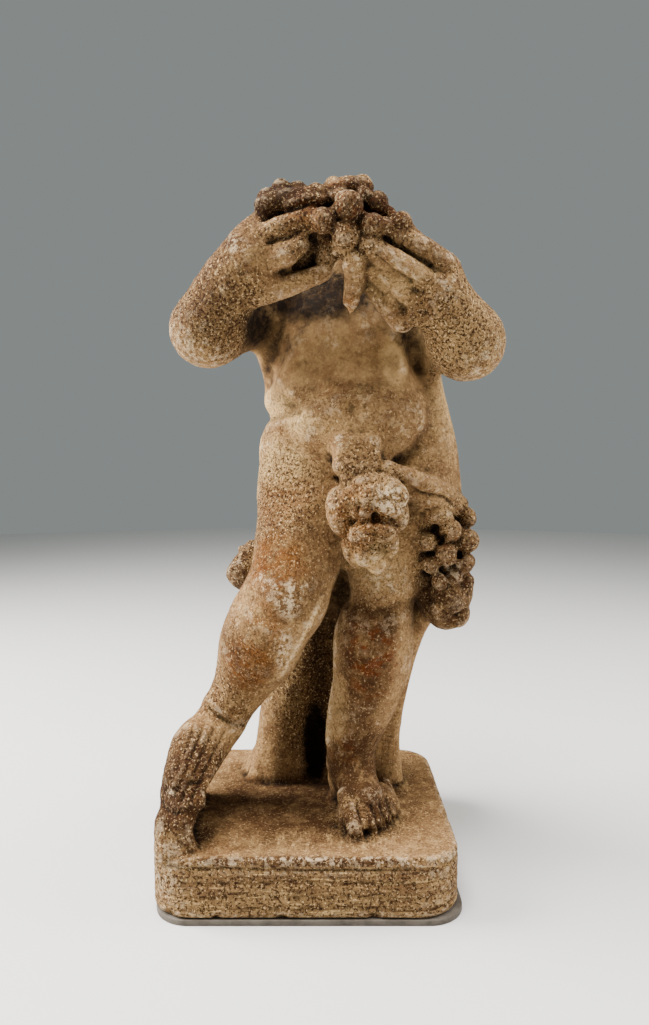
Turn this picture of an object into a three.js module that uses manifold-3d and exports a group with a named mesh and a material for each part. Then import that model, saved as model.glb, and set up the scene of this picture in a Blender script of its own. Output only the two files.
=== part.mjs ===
// A headless stone putto on its own plinth, resting on a thin grey sheet.
// Millimetres, +Z up. The figure faces -Y, and +X is on the viewer's right.
// The origin is the centre of the sheet's underside.
import * as THREE from "three";
import { edgeTable, triTable } from "three/addons/objects/MarchingCubes.js";
import { mergeVertices } from "three/addons/utils/BufferGeometryUtils.js";
import Module from "manifold-3d";

// Plinth
const PLINTH_WIDTH = 270;
const PLINTH_DEPTH = 250;
const PLINTH_HEIGHT = 53;
const PLINTH_CORNER = 36;
const PLINTH_EDGE = 5;
const EDGE_STEPS = 2;

// Sheet under the plinth
const SHEET_THICKNESS = 5;
const SHEET_WIDTH = 271;
const SHEET_DEPTH = 251;
const SHEET_CORNER = 32;
const SHEET_SHIFT = 3;

// Straight steps in a quarter of a round corner
const CORNER_STEPS = 6;

// Figure, from the plinth's top to the top of the fruit. All of its pose and carving is written in units,
// FIGURE_UNITS of them to its height, so that it keeps its proportions at any size.
const FIGURE_HEIGHT = 572;
const FIGURE_UNITS = 572;
const UNIT = FIGURE_HEIGHT / FIGURE_UNITS;

// The box of clay and the pitch at which it is sampled, in units
const FIGURE_BOX = new THREE.Box3(new THREE.Vector3(-146, -140, -10), new THREE.Vector3(192, 112, 584));
const CELL = 4;

// Short lengths of cone in each span of a limb, and straight steps in each span of a groove
const LIMB_STEPS = 5;
const GROOVE_STEPS = 4;

// The two sides that grooves are pressed into, from y to y, and how far one takes to fade out there, in units
const FRONT = [-180, 16];
const BACK = [18, 150];
const FADE = 24;

// Thinning: the triangles that the figure keeps, how much long edges are spared from collapse,
// how well conditioned a best point must be, how far a face may turn, and the least area of a face
const TRIANGLES = 9000;
const LENGTH_WEIGHT = 1e-3;
const LEAST_CONDITION = 1e-4;
const LEAST_FACING = 0.25;
const LEAST_AREA = 1e-3;

// Corners nearer than this are one
const WELD = 1e-4;

const STONE = new THREE.MeshStandardMaterial({ color: 0xb59f82, roughness: 0.95, metalness: 0 });
const SLATE = new THREE.MeshStandardMaterial({ color: 0x74756f, roughness: 0.85, metalness: 0 });

// Forms of clay. Each has a box and a distance, negative inside.

// A round-ended segment whose radius runs evenly from one end to the other.
function segmentDistance(p, a, b, ra, rb) {
  const dx = b.x - a.x;
  const dy = b.y - a.y;
  const dz = b.z - a.z;
  const px = p.x - a.x;
  const py = p.y - a.y;
  const pz = p.z - a.z;
  const t = Math.min(1, Math.max(0, (px * dx + py * dy + pz * dz) / (dx * dx + dy * dy + dz * dz)));
  return Math.hypot(px - t * dx, py - t * dy, pz - t * dz) - (ra + t * (rb - ra));
}

// A limb: round sections along a smooth line through stations [x, y, z, radius].
function limb(...stations) {
  const steps = stations.length > 2 ? LIMB_STEPS : 1;
  const line = new THREE.CatmullRomCurve3(stations.map(([x, y, z]) => new THREE.Vector3(x, y, z)));
  const girth = new THREE.SplineCurve(stations.map(([, , , r], i) => new THREE.Vector2(i, r)));
  const count = (stations.length - 1) * steps;
  const beads = [];
  const box = new THREE.Box3();
  for (let i = 0; i <= count; i++) {
    const at = line.getPoint(i / count);
    const radius = girth.getPoint(i / count).y;
    beads.push({ at, radius });
    box.union(new THREE.Box3(at.clone().subScalar(radius), at.clone().addScalar(radius)));
  }
  const distance = (p) => {
    let nearest = Infinity;
    for (let i = 0; i < count; i++) {
      const a = beads[i];
      const b = beads[i + 1];
      nearest = Math.min(nearest, segmentDistance(p, a.at, b.at, a.radius, b.radius));
    }
    return nearest;
  };
  return { box, distance };
}

// Wraps a distance measured in a form's own turned frame. Turns are degrees about X, Y and Z.
function placed(centre, reach, turn, own) {
  const spin = new THREE.Euler(...turn.map((degrees) => THREE.MathUtils.degToRad(degrees)));
  const back = new THREE.Matrix4().makeRotationFromEuler(spin).transpose();
  const middle = new THREE.Vector3(...centre);
  const local = new THREE.Vector3();
  const box = new THREE.Box3(middle.clone().subScalar(reach), middle.clone().addScalar(reach));
  return { box, distance: (p) => own(local.copy(p).sub(middle).applyMatrix4(back)) };
}

// An egg-shaped lump with three radii.
function lump(centre, [rx, ry, rz], turn = [0, 0, 0]) {
  const own = (q) => {
    const near = Math.hypot(q.x / rx, q.y / ry, q.z / rz);
    const slope = Math.hypot(q.x / (rx * rx), q.y / (ry * ry), q.z / (rz * rz));
    return slope > 0 ? (near * (near - 1)) / slope : -Math.min(rx, ry, rz);
  };
  return placed(centre, Math.max(rx, ry, rz), turn, own);
}

// A ball, such as a berry.
function ball(centre, radius) {
  return lump(centre, [radius, radius, radius]);
}

// A slab with rounded edges, given its half sizes.
function slab(centre, [hx, hy, hz], round, turn = [0, 0, 0]) {
  const own = (q) => {
    const x = Math.abs(q.x) - hx + round;
    const y = Math.abs(q.y) - hy + round;
    const z = Math.abs(q.z) - hz + round;
    const outside = Math.hypot(Math.max(x, 0), Math.max(y, 0), Math.max(z, 0));
    return outside + Math.min(Math.max(x, y, z), 0) - round;
  };
  return placed(centre, Math.hypot(hx, hy, hz), turn, own);
}

// The clay: distances on a grid, built up and cut away form by form.
class Clay {
  constructor(box, cell) {
    this.low = box.min;
    this.cell = cell;
    this.counts = box.getSize(new THREE.Vector3()).divideScalar(cell).ceil().addScalar(1);
    this.values = new Float32Array(this.counts.x * this.counts.y * this.counts.z).fill(1000);
  }

  index(i, j, k) {
    return i + this.counts.x * (j + this.counts.y * k);
  }

  // Changes every value within reach of a form.
  work(form, softness, change) {
    const reach = softness + 2 * this.cell;
    const { low, cell, counts } = this;
    const first = form.box.min.clone().subScalar(reach).sub(low).divideScalar(cell).floor();
    const last = form.box.max.clone().addScalar(reach).sub(low).divideScalar(cell).ceil();
    first.max(new THREE.Vector3());
    last.min(counts.clone().subScalar(1));
    const p = new THREE.Vector3();
    for (let k = first.z; k <= last.z; k++) {
      for (let j = first.y; j <= last.y; j++) {
        for (let i = first.x; i <= last.x; i++) {
          p.set(low.x + i * cell, low.y + j * cell, low.z + k * cell);
          const at = this.index(i, j, k);
          this.values[at] = change(this.values[at], form.distance(p));
        }
      }
    }
  }

  // Presses forms on, with a soft fillet where they meet what is there.
  add(softness, ...forms) {
    for (const form of forms) this.work(form, softness, (old, own) => softMin(old, own, softness));
    return this;
  }

  // Cuts forms away, with a softened rim.
  cut(softness, ...forms) {
    for (const form of forms) this.work(form, softness, (old, own) => -softMin(-old, own, softness));
    return this;
  }

  // Presses a soft groove (or raises a ridge, with a depth below 0) along a line through stations
  // [x, z] of the front view, on the side from y0 to y1.
  press(width, depth, [y0, y1], ...stations) {
    const line = new THREE.SplineCurve(stations.map(([x, z]) => new THREE.Vector2(x, z)));
    const bends = line.getPoints((stations.length - 1) * GROOVE_STEPS);
    const box = new THREE.Box3();
    for (const at of bends) {
      box.expandByPoint(new THREE.Vector3(at.x - 2 * width, y0, at.y - 2 * width));
      box.expandByPoint(new THREE.Vector3(at.x + 2 * width, y1, at.y + 2 * width));
    }
    const distance = (p) => {
      let nearest = Infinity;
      for (let n = 1; n < bends.length; n++) {
        const a = bends[n - 1];
        const b = bends[n];
        const [dx, dz] = [b.x - a.x, b.y - a.y];
        const t = THREE.MathUtils.clamp(((p.x - a.x) * dx + (p.z - a.y) * dz) / (dx * dx + dz * dz), 0, 1);
        nearest = Math.min(nearest, Math.hypot(p.x - a.x - t * dx, p.z - a.y - t * dz));
      }
      // fades out towards the side's limits, so that no step is left there
      const inward = Math.min(p.y - y0, y1 - p.y) / FADE;
      return inward > 0 ? Math.hypot(nearest, width * Math.max(0, 1 - inward) * 2) : Infinity;
    };
    this.work({ box, distance }, 0, (old, far) => old + depth * Math.exp(-((far / width) ** 2)));
    return this;
  }

  // Empties the outermost samples, so that the surface closes inside the box.
  close() {
    const { counts, cell } = this;
    for (let k = 0; k < counts.z; k++) {
      for (let j = 0; j < counts.y; j++) {
        for (let i = 0; i < counts.x; i++) {
          const inner = i > 0 && j > 0 && k > 0 && i < counts.x - 1 && j < counts.y - 1 && k < counts.z - 1;
          const at = this.index(i, j, k);
          if (!inner) this.values[at] = Math.max(this.values[at], cell);
        }
      }
    }
    return this;
  }

  // The surface as an indexed geometry, by marching cubes, one vertex for each grid edge that it crosses.
  surface() {
    const { counts, cell, low, values } = this;
    const corners = [[0, 0, 0], [1, 0, 0], [1, 1, 0], [0, 1, 0], [0, 0, 1], [1, 0, 1], [1, 1, 1], [0, 1, 1]];
    const ends = [
      [0, 1], [1, 2], [3, 2], [0, 3], [4, 5], [5, 6], [7, 6], [4, 7], [0, 4], [1, 5], [2, 6], [3, 7],
    ];
    const points = [];
    const faces = [];
    const known = new Map();
    const crossing = (i, j, k, edge) => {
      const [from, to] = ends[edge].map((corner) => corners[corner]);
      const start = this.index(i + from[0], j + from[1], k + from[2]);
      const axis = to[0] > from[0] ? 0 : to[1] > from[1] ? 1 : 2;
      const key = start * 3 + axis;
      if (!known.has(key)) {
        const end = this.index(i + to[0], j + to[1], k + to[2]);
        const share = THREE.MathUtils.clamp(values[start] / (values[start] - values[end]), 0.02, 0.98);
        known.set(key, points.length / 3);
        points.push(low.x + cell * (i + from[0] + (axis === 0 ? share : 0)));
        points.push(low.y + cell * (j + from[1] + (axis === 1 ? share : 0)));
        points.push(low.z + cell * (k + from[2] + (axis === 2 ? share : 0)));
      }
      return known.get(key);
    };
    for (let k = 0; k < counts.z - 1; k++) {
      for (let j = 0; j < counts.y - 1; j++) {
        for (let i = 0; i < counts.x - 1; i++) {
          let shape = 0;
          corners.forEach(([x, y, z], bit) => {
            if (values[this.index(i + x, j + y, k + z)] < 0) shape |= 1 << bit;
          });
          if (edgeTable[shape] === 0) continue;
          for (let n = shape * 16; triTable[n] !== -1; n += 3) {
            faces.push(crossing(i, j, k, triTable[n]));
            faces.push(crossing(i, j, k, triTable[n + 2]));
            faces.push(crossing(i, j, k, triTable[n + 1]));
          }
        }
      }
    }
    return { points, faces };
  }
}

// The smaller of two distances, rounded off where they are within the softness of each other.
function softMin(a, b, softness) {
  if (softness <= 0) return Math.min(a, b);
  const overlap = Math.max(softness - Math.abs(a - b), 0) / softness;
  return Math.min(a, b) - (overlap * overlap * softness) / 4;
}

// Torso: hips, belly, chest, shoulders, seat, and the broken neck.
function torso(clay) {
  clay.add(0, lump([50, 12, 312], [99, 62, 68]));
  clay.add(30, lump([52, -10, 370], [86, 62, 58]));
  clay.add(14, lump([-10, 8, 350], [38, 46, 33]), lump([112, 6, 344], [34, 46, 40]));
  clay.add(20, lump([39, 8, 448], [90, 62, 74], [0, 4, 0]));
  clay.add(14, lump([-8, 6, 400], [35, 46, 42]), lump([106, 6, 396], [27, 44, 42]));
  clay.add(26, limb([-24, 14, 498, 36], [38, 14, 510, 34], [104, 14, 488, 38]));
  clay.add(20, limb([34, 14, 510, 40], [36, 8, 556, 37]));
  clay.add(14, lump([8, 46, 278], [46, 42, 50]), lump([94, 46, 278], [48, 42, 50]));
  clay.cut(6, limb([51, 96, 300, 6], [51, 90, 250, 8]));
  clay.add(16, lump([2, 52, 466], [28, 18, 34], [0, 12, 0]), lump([78, 52, 462], [28, 18, 34], [0, -12, 0]));
  clay.cut(3, slab([36, 8, 582], [60, 60, 30], 4, [9, -7, 0]), lump([52, -8, 556], [20, 16, 10]));
}

// Folds of soft flesh, worked into the front and the back.
function folds(clay) {
  // ribs and flank on the viewer's left
  clay.press(9, 6, FRONT, [-14, 484], [-22, 462], [-34, 434], [-40, 414]);
  clay.press(9, -3, FRONT, [-8, 450], [-18, 424], [-10, 398]);
  clay.press(6, 4, [-180, 60], [-60, 380], [-38, 381], [-14, 389]);
  // ribs and flank on the viewer's right
  clay.press(7, 5, FRONT, [84, 470], [92, 452], [104, 424]);
  clay.press(7, -4, FRONT, [78, 452], [90, 418]);
  clay.press(7, 6, FRONT, [98, 438], [106, 412], [119, 384], [116, 362], [102, 352], [84, 336]);
  // lower belly and groin
  clay.press(10, 3, FRONT, [-20, 356], [4, 344], [28, 338]);
  clay.press(14, 3, FRONT, [-22, 300], [4, 318], [26, 322]);
  clay.press(6, 4, FRONT, [40, 384], [41, 381]);
  // chest
  clay.press(9, 2.5, FRONT, [38, 492], [38, 452]);
  clay.press(11, 2.5, FRONT, [-2, 436], [20, 428], [39, 432], [58, 427], [78, 434]);
  // spine and waist behind
  clay.press(9, 6, BACK, [40, 500], [44, 430], [50, 345]);
  clay.press(10, 5, BACK, [-36, 392], [4, 400]);
  clay.press(10, 5, BACK, [96, 398], [136, 388]);
  clay.press(8, 4, BACK, [-30, 236], [8, 230], [44, 244]);
  clay.press(8, 4, BACK, [58, 244], [94, 230], [128, 238]);
}

// The stepping leg on the viewer's left, with its foot on a low rock.
function steppingLeg(clay) {
  clay.add(20, limb(
    [8, 4, 300, 52], [-6, -18, 262, 45], [-12, -34, 232, 41], [-21, -46, 208, 41], [-35, -46, 186, 40],
    [-45, -40, 162, 39], [-56, -34, 138, 31], [-66, -32, 118, 26], [-78, -31, 98, 24],
  ));
  clay.press(9, 3.5, FRONT, [-48, 214], [-26, 196], [0, 200], [16, 216]);
  clay.press(10, -3, FRONT, [-38, 232], [-14, 226], [10, 236]);
  clay.add(12, lump([-84, -10, 66], [17, 22, 24]));
  clay.add(12, limb([-86, -30, 84, 23], [-98, -56, 68, 25], [-106, -84, 52, 23]));
  clay.add(8, lump([-104, -64, 74], [22, 30, 16], [38, 0, -10]));
  clay.press(4, 2, FRONT, [-112, 102], [-88, 99], [-58, 92]);
}

// The leg that bears the weight, on the viewer's right.
function standingLeg(clay) {
  clay.add(20, limb(
    [94, 6, 300, 54], [86, -4, 262, 44], [78, -12, 232, 37], [73, -18, 206, 32], [67, -20, 184, 35.5],
    [64.5, -18, 166, 39], [63.5, -17, 148, 39], [60, -17, 124, 35], [55, -18, 106, 33], [47, -18, 82, 29],
    [43, -17, 62, 26], [42, -15, 42, 24.5],
  ));
  clay.press(7, 3, FRONT, [42, 202], [62, 196], [86, 204], [104, 204]);
  clay.press(9, -3, FRONT, [54, 222], [76, 216], [96, 222]);
  clay.add(10, lump([40, 4, 18], [21, 24, 20]), limb([46, -26, 26, 21], [54, -52, 15, 20], [60, -66, 10, 14]));
  clay.add(6, lump([42, -62, 12], [14, 26, 13], [0, 0, 4]), lump([74, -34, 10], [12, 20, 12]));
  clay.press(6, 1.5, FRONT, [18, 54], [42, 48], [68, 54]);
}

// Toes in a row, each [x, y, z, radius] at its tip, running back along a foot.
function toes(clay, back, ...tips) {
  for (const [x, y, z, radius] of tips) {
    const root = [x + back[0], y + back[1], z + back[2], radius * 1.05];
    const joint = [x + back[0] * 0.4, y + back[1] * 0.4, z + back[2] * 0.7, radius * 0.86];
    clay.add(1.5, limb(root, joint, [x, y, z, radius]));
  }
}

// One raised arm: stations from the shoulder to the elbow, and from there to the wrist.
function arm(clay, upper, fore) {
  clay.add(14, limb(...upper));
  clay.add(10, limb(...fore));
}

// Hands. Each finger is a short limb from its knuckle to its tip.
function hands(clay) {
  clay.add(8, lump([-28, -93, 512], [31, 18, 37], [0, -32, 0]));
  clay.add(8, lump([106, -92, 483], [26, 17, 35], [0, 34, 0]));
  clay.cut(3, lump([2, -104, 500], [22, 15, 7], [0, -22, 0]));
  clay.add(3, lump([-2, -82, 502], [30, 8, 18], [0, -24, 0]));
  const fingers = [
    [[-32, -100, 516, 10], [-10, -110, 525, 9.5], [8, -112, 530, 8.5]],
    [[-34, -98, 501, 10.5], [-14, -108, 510, 9.5], [-4, -109, 515, 8.5]],
    [[-40, -88, 480, 12], [-10, -95, 485, 9], [20, -97, 495, 7]],
    [[14, -90, 500, 8], [20, -94, 510, 9], [24, -94, 528, 8]],
    [[100, -103, 484, 12], [78, -111, 498, 11.5], [57, -112, 510, 10.5]],
    [[94, -98, 467, 11], [74, -107, 482, 10.5], [57, -107, 493, 9.5]],
    [[84, -88, 460, 11], [70, -96, 473, 9.5], [59, -96, 483, 8.5]],
    [[110, -96, 503, 13], [92, -100, 514, 10], [78, -101, 521, 9]],
  ];
  for (const stations of fingers) clay.add(1.5, limb(...stations));
}

// The bunch in the hands: leaves along the top, round fruit in front, and the long tip below.
function bunch(clay) {
  clay.add(6, lump([34, -92, 530], [36, 16, 26]), lump([-6, -90, 538], [28, 11, 14]));
  clay.add(5, lump([-16, -98, 552], [27, 13, 10], [0, -8, 0]), lump([12, -98, 554], [20, 13, 10], [0, 4, 0]));
  clay.add(4, lump([36, -96, 562], [23, 14, 10], [0, -6, 0]), lump([2, -107, 548], [20, 8, 6.5], [0, -8, 0]));
  const leaves = [
    [-33, -97, 555, 9], [-20, -94, 563, 8], [-6, -92, 562, 8], [9, -92, 561, 7], [48, -96, 565, 9],
    [24, -90, 566, 8],
  ];
  for (const [x, y, z, r] of leaves) clay.add(2.5, ball([x, y, z], r));
  const fruit = [
    [15, -114, 531, 10.5], [36, -117, 542, 12], [55, -113, 527, 10.5], [64, -112, 526, 9.5], [60, -104, 549, 9],
    [78, -108, 530, 10], [92, -102, 520, 7.5], [68, -96, 540, 9], [30, -84, 556, 10], [56, -82, 544, 11],
    [8, -84, 548, 10],
  ];
  for (const [x, y, z, r] of fruit) clay.add(1.2, ball([x, y, z], r));
  clay.add(2, lump([34, -113, 519], [11.5, 11, 14.5], [0, 10, 0]));
  clay.add(2, lump([41, -110, 498], [9, 10, 13], [0, 6, 0]));
  clay.add(2, limb([41, -105, 488, 9], [40, -100, 472, 9.5], [38, -96, 462, 5]));
}

// The vine at the hips: a square leaf, a lobed flower with a drilled eye, a twisted stem and a side bunch.
function vine(clay) {
  clay.add(3, slab([45, -67, 341], [22, 12, 20], 9, [-14, 0, 0]), slab([46, -72, 324], [17, 8, 12], 6));
  clay.add(4, lump([54, -70, 294], [33, 20, 34]));
  clay.add(3, lump([62, -80, 306], [28, 17, 20], [0, 6, 0]), lump([30, -75, 292], [13, 15, 23], [0, -8, 0]));
  clay.add(2.5, lump([82, -76, 290], [10, 13, 16]), lump([75, -76, 264], [8, 9, 13]));
  clay.add(2.5, lump([50, -84, 272], [14, 12, 12]), lump([68, -84, 275], [12, 11, 11]));
  clay.add(3, lump([55, -76, 256], [15, 12, 15]), limb([40, -72, 262, 9], [44, -66, 246, 7]));
  clay.cut(1.5, limb([61, -112, 289, 4], [61, -84, 288, 4]));
  clay.press(4, 2.5, FRONT, [44, 314], [47, 296], [44, 278]);
  clay.press(4, 2.5, FRONT, [44, 288], [60, 287], [78, 283]);
  // stem
  clay.add(4, limb([74, -70, 328, 9], [98, -60, 318, 10], [118, -46, 310, 11], [146, -10, 294, 10]));
  clay.add(3, limb([96, -56, 300, 7], [116, -46, 298, 8], [140, -24, 290, 8]));
  // side bunch, with leaves below
  clay.add(8, lump([132, -8, 214], [27, 30, 44], [0, -8, 0]), lump([134, -4, 262], [25, 34, 28]));
  const fruit = [
    [120, -48, 287, 10], [133, -45, 273, 10.5], [151, -36, 262, 11], [130, -46, 250, 10.5],
    [147, -38, 241, 10], [152, -20, 284, 9], [112, -43, 262, 9.5], [150, 8, 268, 11], [144, 20, 246, 10],
    [116, -41, 240, 9], [150, -28, 222, 9],
  ];
  for (const [x, y, z, r] of fruit) clay.add(1.5, ball([x, y, z], r));
  clay.add(3, ball([124, -34, 190], 8), lump([146, -14, 188], [11, 15, 14], [0, 20, 0]));
  clay.add(3, lump([134, -34, 208], [15, 9, 18], [0, -24, 0]), lump([152, -8, 212], [10, 18, 20]));
  clay.press(3, 3, FRONT, [126, 226], [136, 206], [146, 184]);
  clay.cut(2, limb([112, -56, 262, 5], [116, -34, 262, 5]), limb([140, -60, 256, 3.5], [138, -36, 256, 3.5]));
}

// The tree stump that props the figure: a broad leaning trunk, a broken bough and a slender side shoot.
function stump(clay) {
  clay.add(10, limb(
    [-34, 58, -4, 34], [-30, 50, 30, 28], [-26, 46, 74, 26], [-2, 46, 140, 27], [20, 44, 215, 28],
  ));
  clay.add(10, limb([26, 66, -4, 36], [22, 62, 60, 32], [30, 58, 140, 32], [44, 50, 215, 34]));
  clay.add(8, limb([-58, 66, -4, 18], [-42, 60, 22, 14]), limb([-8, 84, -4, 20], [-6, 70, 30, 16]));
  // the bough, broken off in two facets
  clay.add(6, limb([0, 46, 218, 28], [-36, 38, 226, 29], [-60, 32, 229, 28]));
  clay.cut(3, slab([-84, 24, 251], [14, 60, 44], 3, [0, 35.5, 0]));
  clay.cut(3, slab([-88, 24, 194], [14, 60, 34], 3, [0, -38, 0]));
  // bark
  clay.press(4, 2.5, FRONT, [-34, 20], [-28, 70], [-12, 130], [8, 190]);
  clay.press(4, 2.5, FRONT, [-6, 10], [-4, 70], [12, 130], [26, 190]);
  clay.press(5, 3, BACK, [-20, 10], [-16, 70], [4, 130], [22, 190]);
  clay.press(5, 3, BACK, [14, 10], [22, 70], [34, 130], [46, 190]);
  clay.press(5, 3, BACK, [46, 20], [50, 80], [58, 130]);
  // the side shoot, under the side bunch
  clay.add(8, limb(
    [128, 18, 206, 18], [109, 26, 168, 14], [93, 28, 112, 12.5], [84, 32, 50, 12], [82, 34, -4, 18],
  ));
}

// The rock under the stepping foot, and the uneven ground.
function ground(clay) {
  clay.add(8, lump([-112, -70, 6], [20, 46, 36], [14, 0, 0]), lump([-98, -32, 16], [23, 38, 40]));
  clay.add(6, lump([-108, -100, 12], [19, 18, 28]), lump([-120, -100, 2], [13, 22, 18]));
  clay.add(6, lump([20, 60, -6], [90, 42, 12]), lump([48, -30, -6], [44, 60, 10]));
}

// The whole figure with its prop, standing on z = 0.
function figureClay() {
  const clay = new Clay(FIGURE_BOX, CELL);
  torso(clay);
  stump(clay);
  ground(clay);
  steppingLeg(clay);
  standingLeg(clay);
  folds(clay);
  arm(
    clay,
    [[-26, 16, 496, 37], [-62, -22, 474, 33], [-88, -58, 454, 32]],
    [[-88, -60, 454, 32], [-66, -77, 487, 28.5], [-44, -90, 509, 27]],
  );
  arm(
    clay,
    [[104, 14, 486, 37], [126, -22, 460, 32], [144, -56, 444, 33]],
    [[144, -58, 443, 33], [126, -76, 464, 28.5], [109, -92, 480, 25]],
  );
  hands(clay);
  bunch(clay);
  vine(clay);
  toes(
    clay, [-6, 22, 8],
    [47, -86, 9, 10], [61, -77, 8, 7.5], [71, -67, 7, 7], [78, -57, 7, 6.5], [83, -46, 7, 6],
  );
  toes(
    clay, [2, 20, 14],
    [-88, -104, 42, 9], [-101, -107, 40, 7.5], [-111, -104, 38, 7], [-119, -98, 37, 6.5], [-126, -88, 38, 6],
  );
  return clay.close();
}

// Thins a closed triangle mesh to a count, by collapsing the edge that changes the surface least.
class Thinner {
  constructor({ points, faces }) {
    this.points = Float64Array.from(points);
    this.faces = Int32Array.from(faces);
    this.around = Array.from({ length: points.length / 3 }, () => new Set());
    this.errors = new Float64Array((points.length / 3) * 10);
    this.stamp = new Int32Array(points.length / 3);
    this.left = faces.length / 3;
    this.heap = [];
    for (let face = 0; face < this.left; face++) this.enter(face);
    for (let a = 0; a < this.around.length; a++) {
      for (const b of this.neighbours(a)) if (b > a) this.offer(a, b);
    }
  }

  corner(face, n) {
    return this.faces[face * 3 + n];
  }

  point(a) {
    return this.points.subarray(a * 3, a * 3 + 3);
  }

  // The unscaled normal of a triangle.
  normal(p, q, r) {
    const [ux, uy, uz] = [q[0] - p[0], q[1] - p[1], q[2] - p[2]];
    const [vx, vy, vz] = [r[0] - p[0], r[1] - p[1], r[2] - p[2]];
    return [uy * vz - uz * vy, uz * vx - ux * vz, ux * vy - uy * vx];
  }

  // Adds a face's plane, weighed by its area, to the errors of its corners.
  enter(face) {
    const own = [0, 1, 2].map((n) => this.corner(face, n));
    const p = this.point(own[0]);
    const [nx, ny, nz] = this.normal(p, this.point(own[1]), this.point(own[2]));
    const size = Math.hypot(nx, ny, nz) || 1;
    const [a, b, c] = [nx / size, ny / size, nz / size];
    const d = -(a * p[0] + b * p[1] + c * p[2]);
    const plane = [a * a, a * b, a * c, a * d, b * b, b * c, b * d, c * c, c * d, d * d];
    for (const corner of own) {
      this.around[corner].add(face);
      plane.forEach((value, n) => (this.errors[corner * 10 + n] += value * size));
    }
  }

  neighbours(a) {
    const found = new Set();
    for (const face of this.around[a]) for (let n = 0; n < 3; n++) found.add(this.corner(face, n));
    found.delete(a);
    return found;
  }

  cost(q, [x, y, z]) {
    return q[0] * x * x + q[4] * y * y + q[7] * z * z + q[9]
      + 2 * (q[1] * x * y + q[2] * x * z + q[5] * y * z + q[3] * x + q[6] * y + q[8] * z);
  }

  // The point with the least error for two joined corners.
  best(a, b) {
    const q = new Float64Array(10);
    for (let n = 0; n < 10; n++) q[n] = this.errors[a * 10 + n] + this.errors[b * 10 + n];
    const p = this.point(a);
    const r = this.point(b);
    const middle = [(p[0] + r[0]) / 2, (p[1] + r[1]) / 2, (p[2] + r[2]) / 2];
    const choices = [middle, [...p], [...r]];
    const m = new THREE.Matrix3().set(q[0], q[1], q[2], q[1], q[4], q[5], q[2], q[5], q[7]);
    const trace = q[0] + q[4] + q[7];
    if (m.determinant() > LEAST_CONDITION * trace ** 3) {
      const v = new THREE.Vector3(-q[3], -q[6], -q[8]).applyMatrix3(m.invert());
      const reach = 2 * Math.hypot(p[0] - r[0], p[1] - r[1], p[2] - r[2]);
      const away = Math.hypot(v.x - middle[0], v.y - middle[1], v.z - middle[2]);
      if (away < reach) choices.unshift([v.x, v.y, v.z]);
    }
    const costs = choices.map((at) => this.cost(q, at));
    const least = costs.indexOf(Math.min(...costs));
    return { at: choices[least], cost: costs[least] };
  }

  offer(a, b) {
    const { at, cost } = this.best(a, b);
    const span = Math.hypot(...[0, 1, 2].map((n) => this.point(a)[n] - this.point(b)[n]));
    const weighed = cost + LENGTH_WEIGHT * span ** 4;
    this.push({ a, b, at, cost: weighed, stampA: this.stamp[a], stampB: this.stamp[b] });
  }

  push(item) {
    const { heap } = this;
    let n = heap.push(item) - 1;
    while (n > 0 && heap[(n - 1) >> 1].cost > item.cost) {
      heap[n] = heap[(n - 1) >> 1];
      n = (n - 1) >> 1;
    }
    heap[n] = item;
  }

  pop() {
    const { heap } = this;
    const top = heap[0];
    const item = heap.pop();
    let n = 0;
    while (heap.length) {
      let child = 2 * n + 1;
      if (child >= heap.length) break;
      if (child + 1 < heap.length && heap[child + 1].cost < heap[child].cost) child += 1;
      if (heap[child].cost >= item.cost) break;
      heap[n] = heap[child];
      n = child;
    }
    if (heap.length) heap[n] = item;
    return top;
  }

  // Whether moving a corner leaves every face round it that stays facing its own way.
  keepsFacing(a, b, at) {
    for (const face of this.around[a]) {
      const own = [0, 1, 2].map((n) => this.corner(face, n));
      if (own.includes(b)) continue;
      const before = this.normal(...own.map((corner) => this.point(corner)));
      const after = this.normal(...own.map((corner) => (corner === a ? at : this.point(corner))));
      const dot = before[0] * after[0] + before[1] * after[1] + before[2] * after[2];
      if (dot < LEAST_FACING * Math.hypot(...before) * Math.hypot(...after)) return false;
      if (Math.hypot(...after) < LEAST_AREA) return false;
    }
    return true;
  }

  collapse({ a, b, at }) {
    const others = this.neighbours(b);
    const shared = [...this.neighbours(a)].filter((other) => others.has(other));
    if (shared.length !== 2) return;
    if (!this.keepsFacing(a, b, at) || !this.keepsFacing(b, a, at)) return;
    for (const face of [...this.around[b]]) {
      const own = [0, 1, 2].map((n) => this.corner(face, n));
      if (own.includes(a)) {
        for (const corner of own) this.around[corner].delete(face);
        this.faces[face * 3] = -1;
        this.left -= 1;
      } else {
        this.faces[face * 3 + own.indexOf(b)] = a;
        this.around[a].add(face);
      }
    }
    this.around[b].clear();
    this.points.set(at, a * 3);
    for (let n = 0; n < 10; n++) this.errors[a * 10 + n] += this.errors[b * 10 + n];
    this.stamp[a] += 1;
    this.stamp[b] += 1;
    for (const other of this.neighbours(a)) this.offer(a, other);
  }

  thinTo(triangles) {
    while (this.left > triangles && this.heap.length) {
      const item = this.pop();
      if (this.stamp[item.a] === item.stampA && this.stamp[item.b] === item.stampB) this.collapse(item);
    }
    const kept = [];
    for (let n = 0; n < this.faces.length; n += 3) {
      if (this.faces[n] >= 0) kept.push(this.faces[n], this.faces[n + 1], this.faces[n + 2]);
    }
    return { points: this.points, faces: kept };
  }
}

// A rounded rectangle, centred.
function roundedOutline(width, depth, corner) {
  const x = width / 2;
  const y = depth / 2;
  const outline = new THREE.Shape();
  outline.absarc(x - corner, y - corner, corner, 0, Math.PI / 2);
  outline.absarc(corner - x, y - corner, corner, Math.PI / 2, Math.PI);
  outline.absarc(corner - x, corner - y, corner, Math.PI, 1.5 * Math.PI);
  outline.absarc(x - corner, corner - y, corner, 1.5 * Math.PI, 2 * Math.PI);
  return outline;
}

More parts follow.
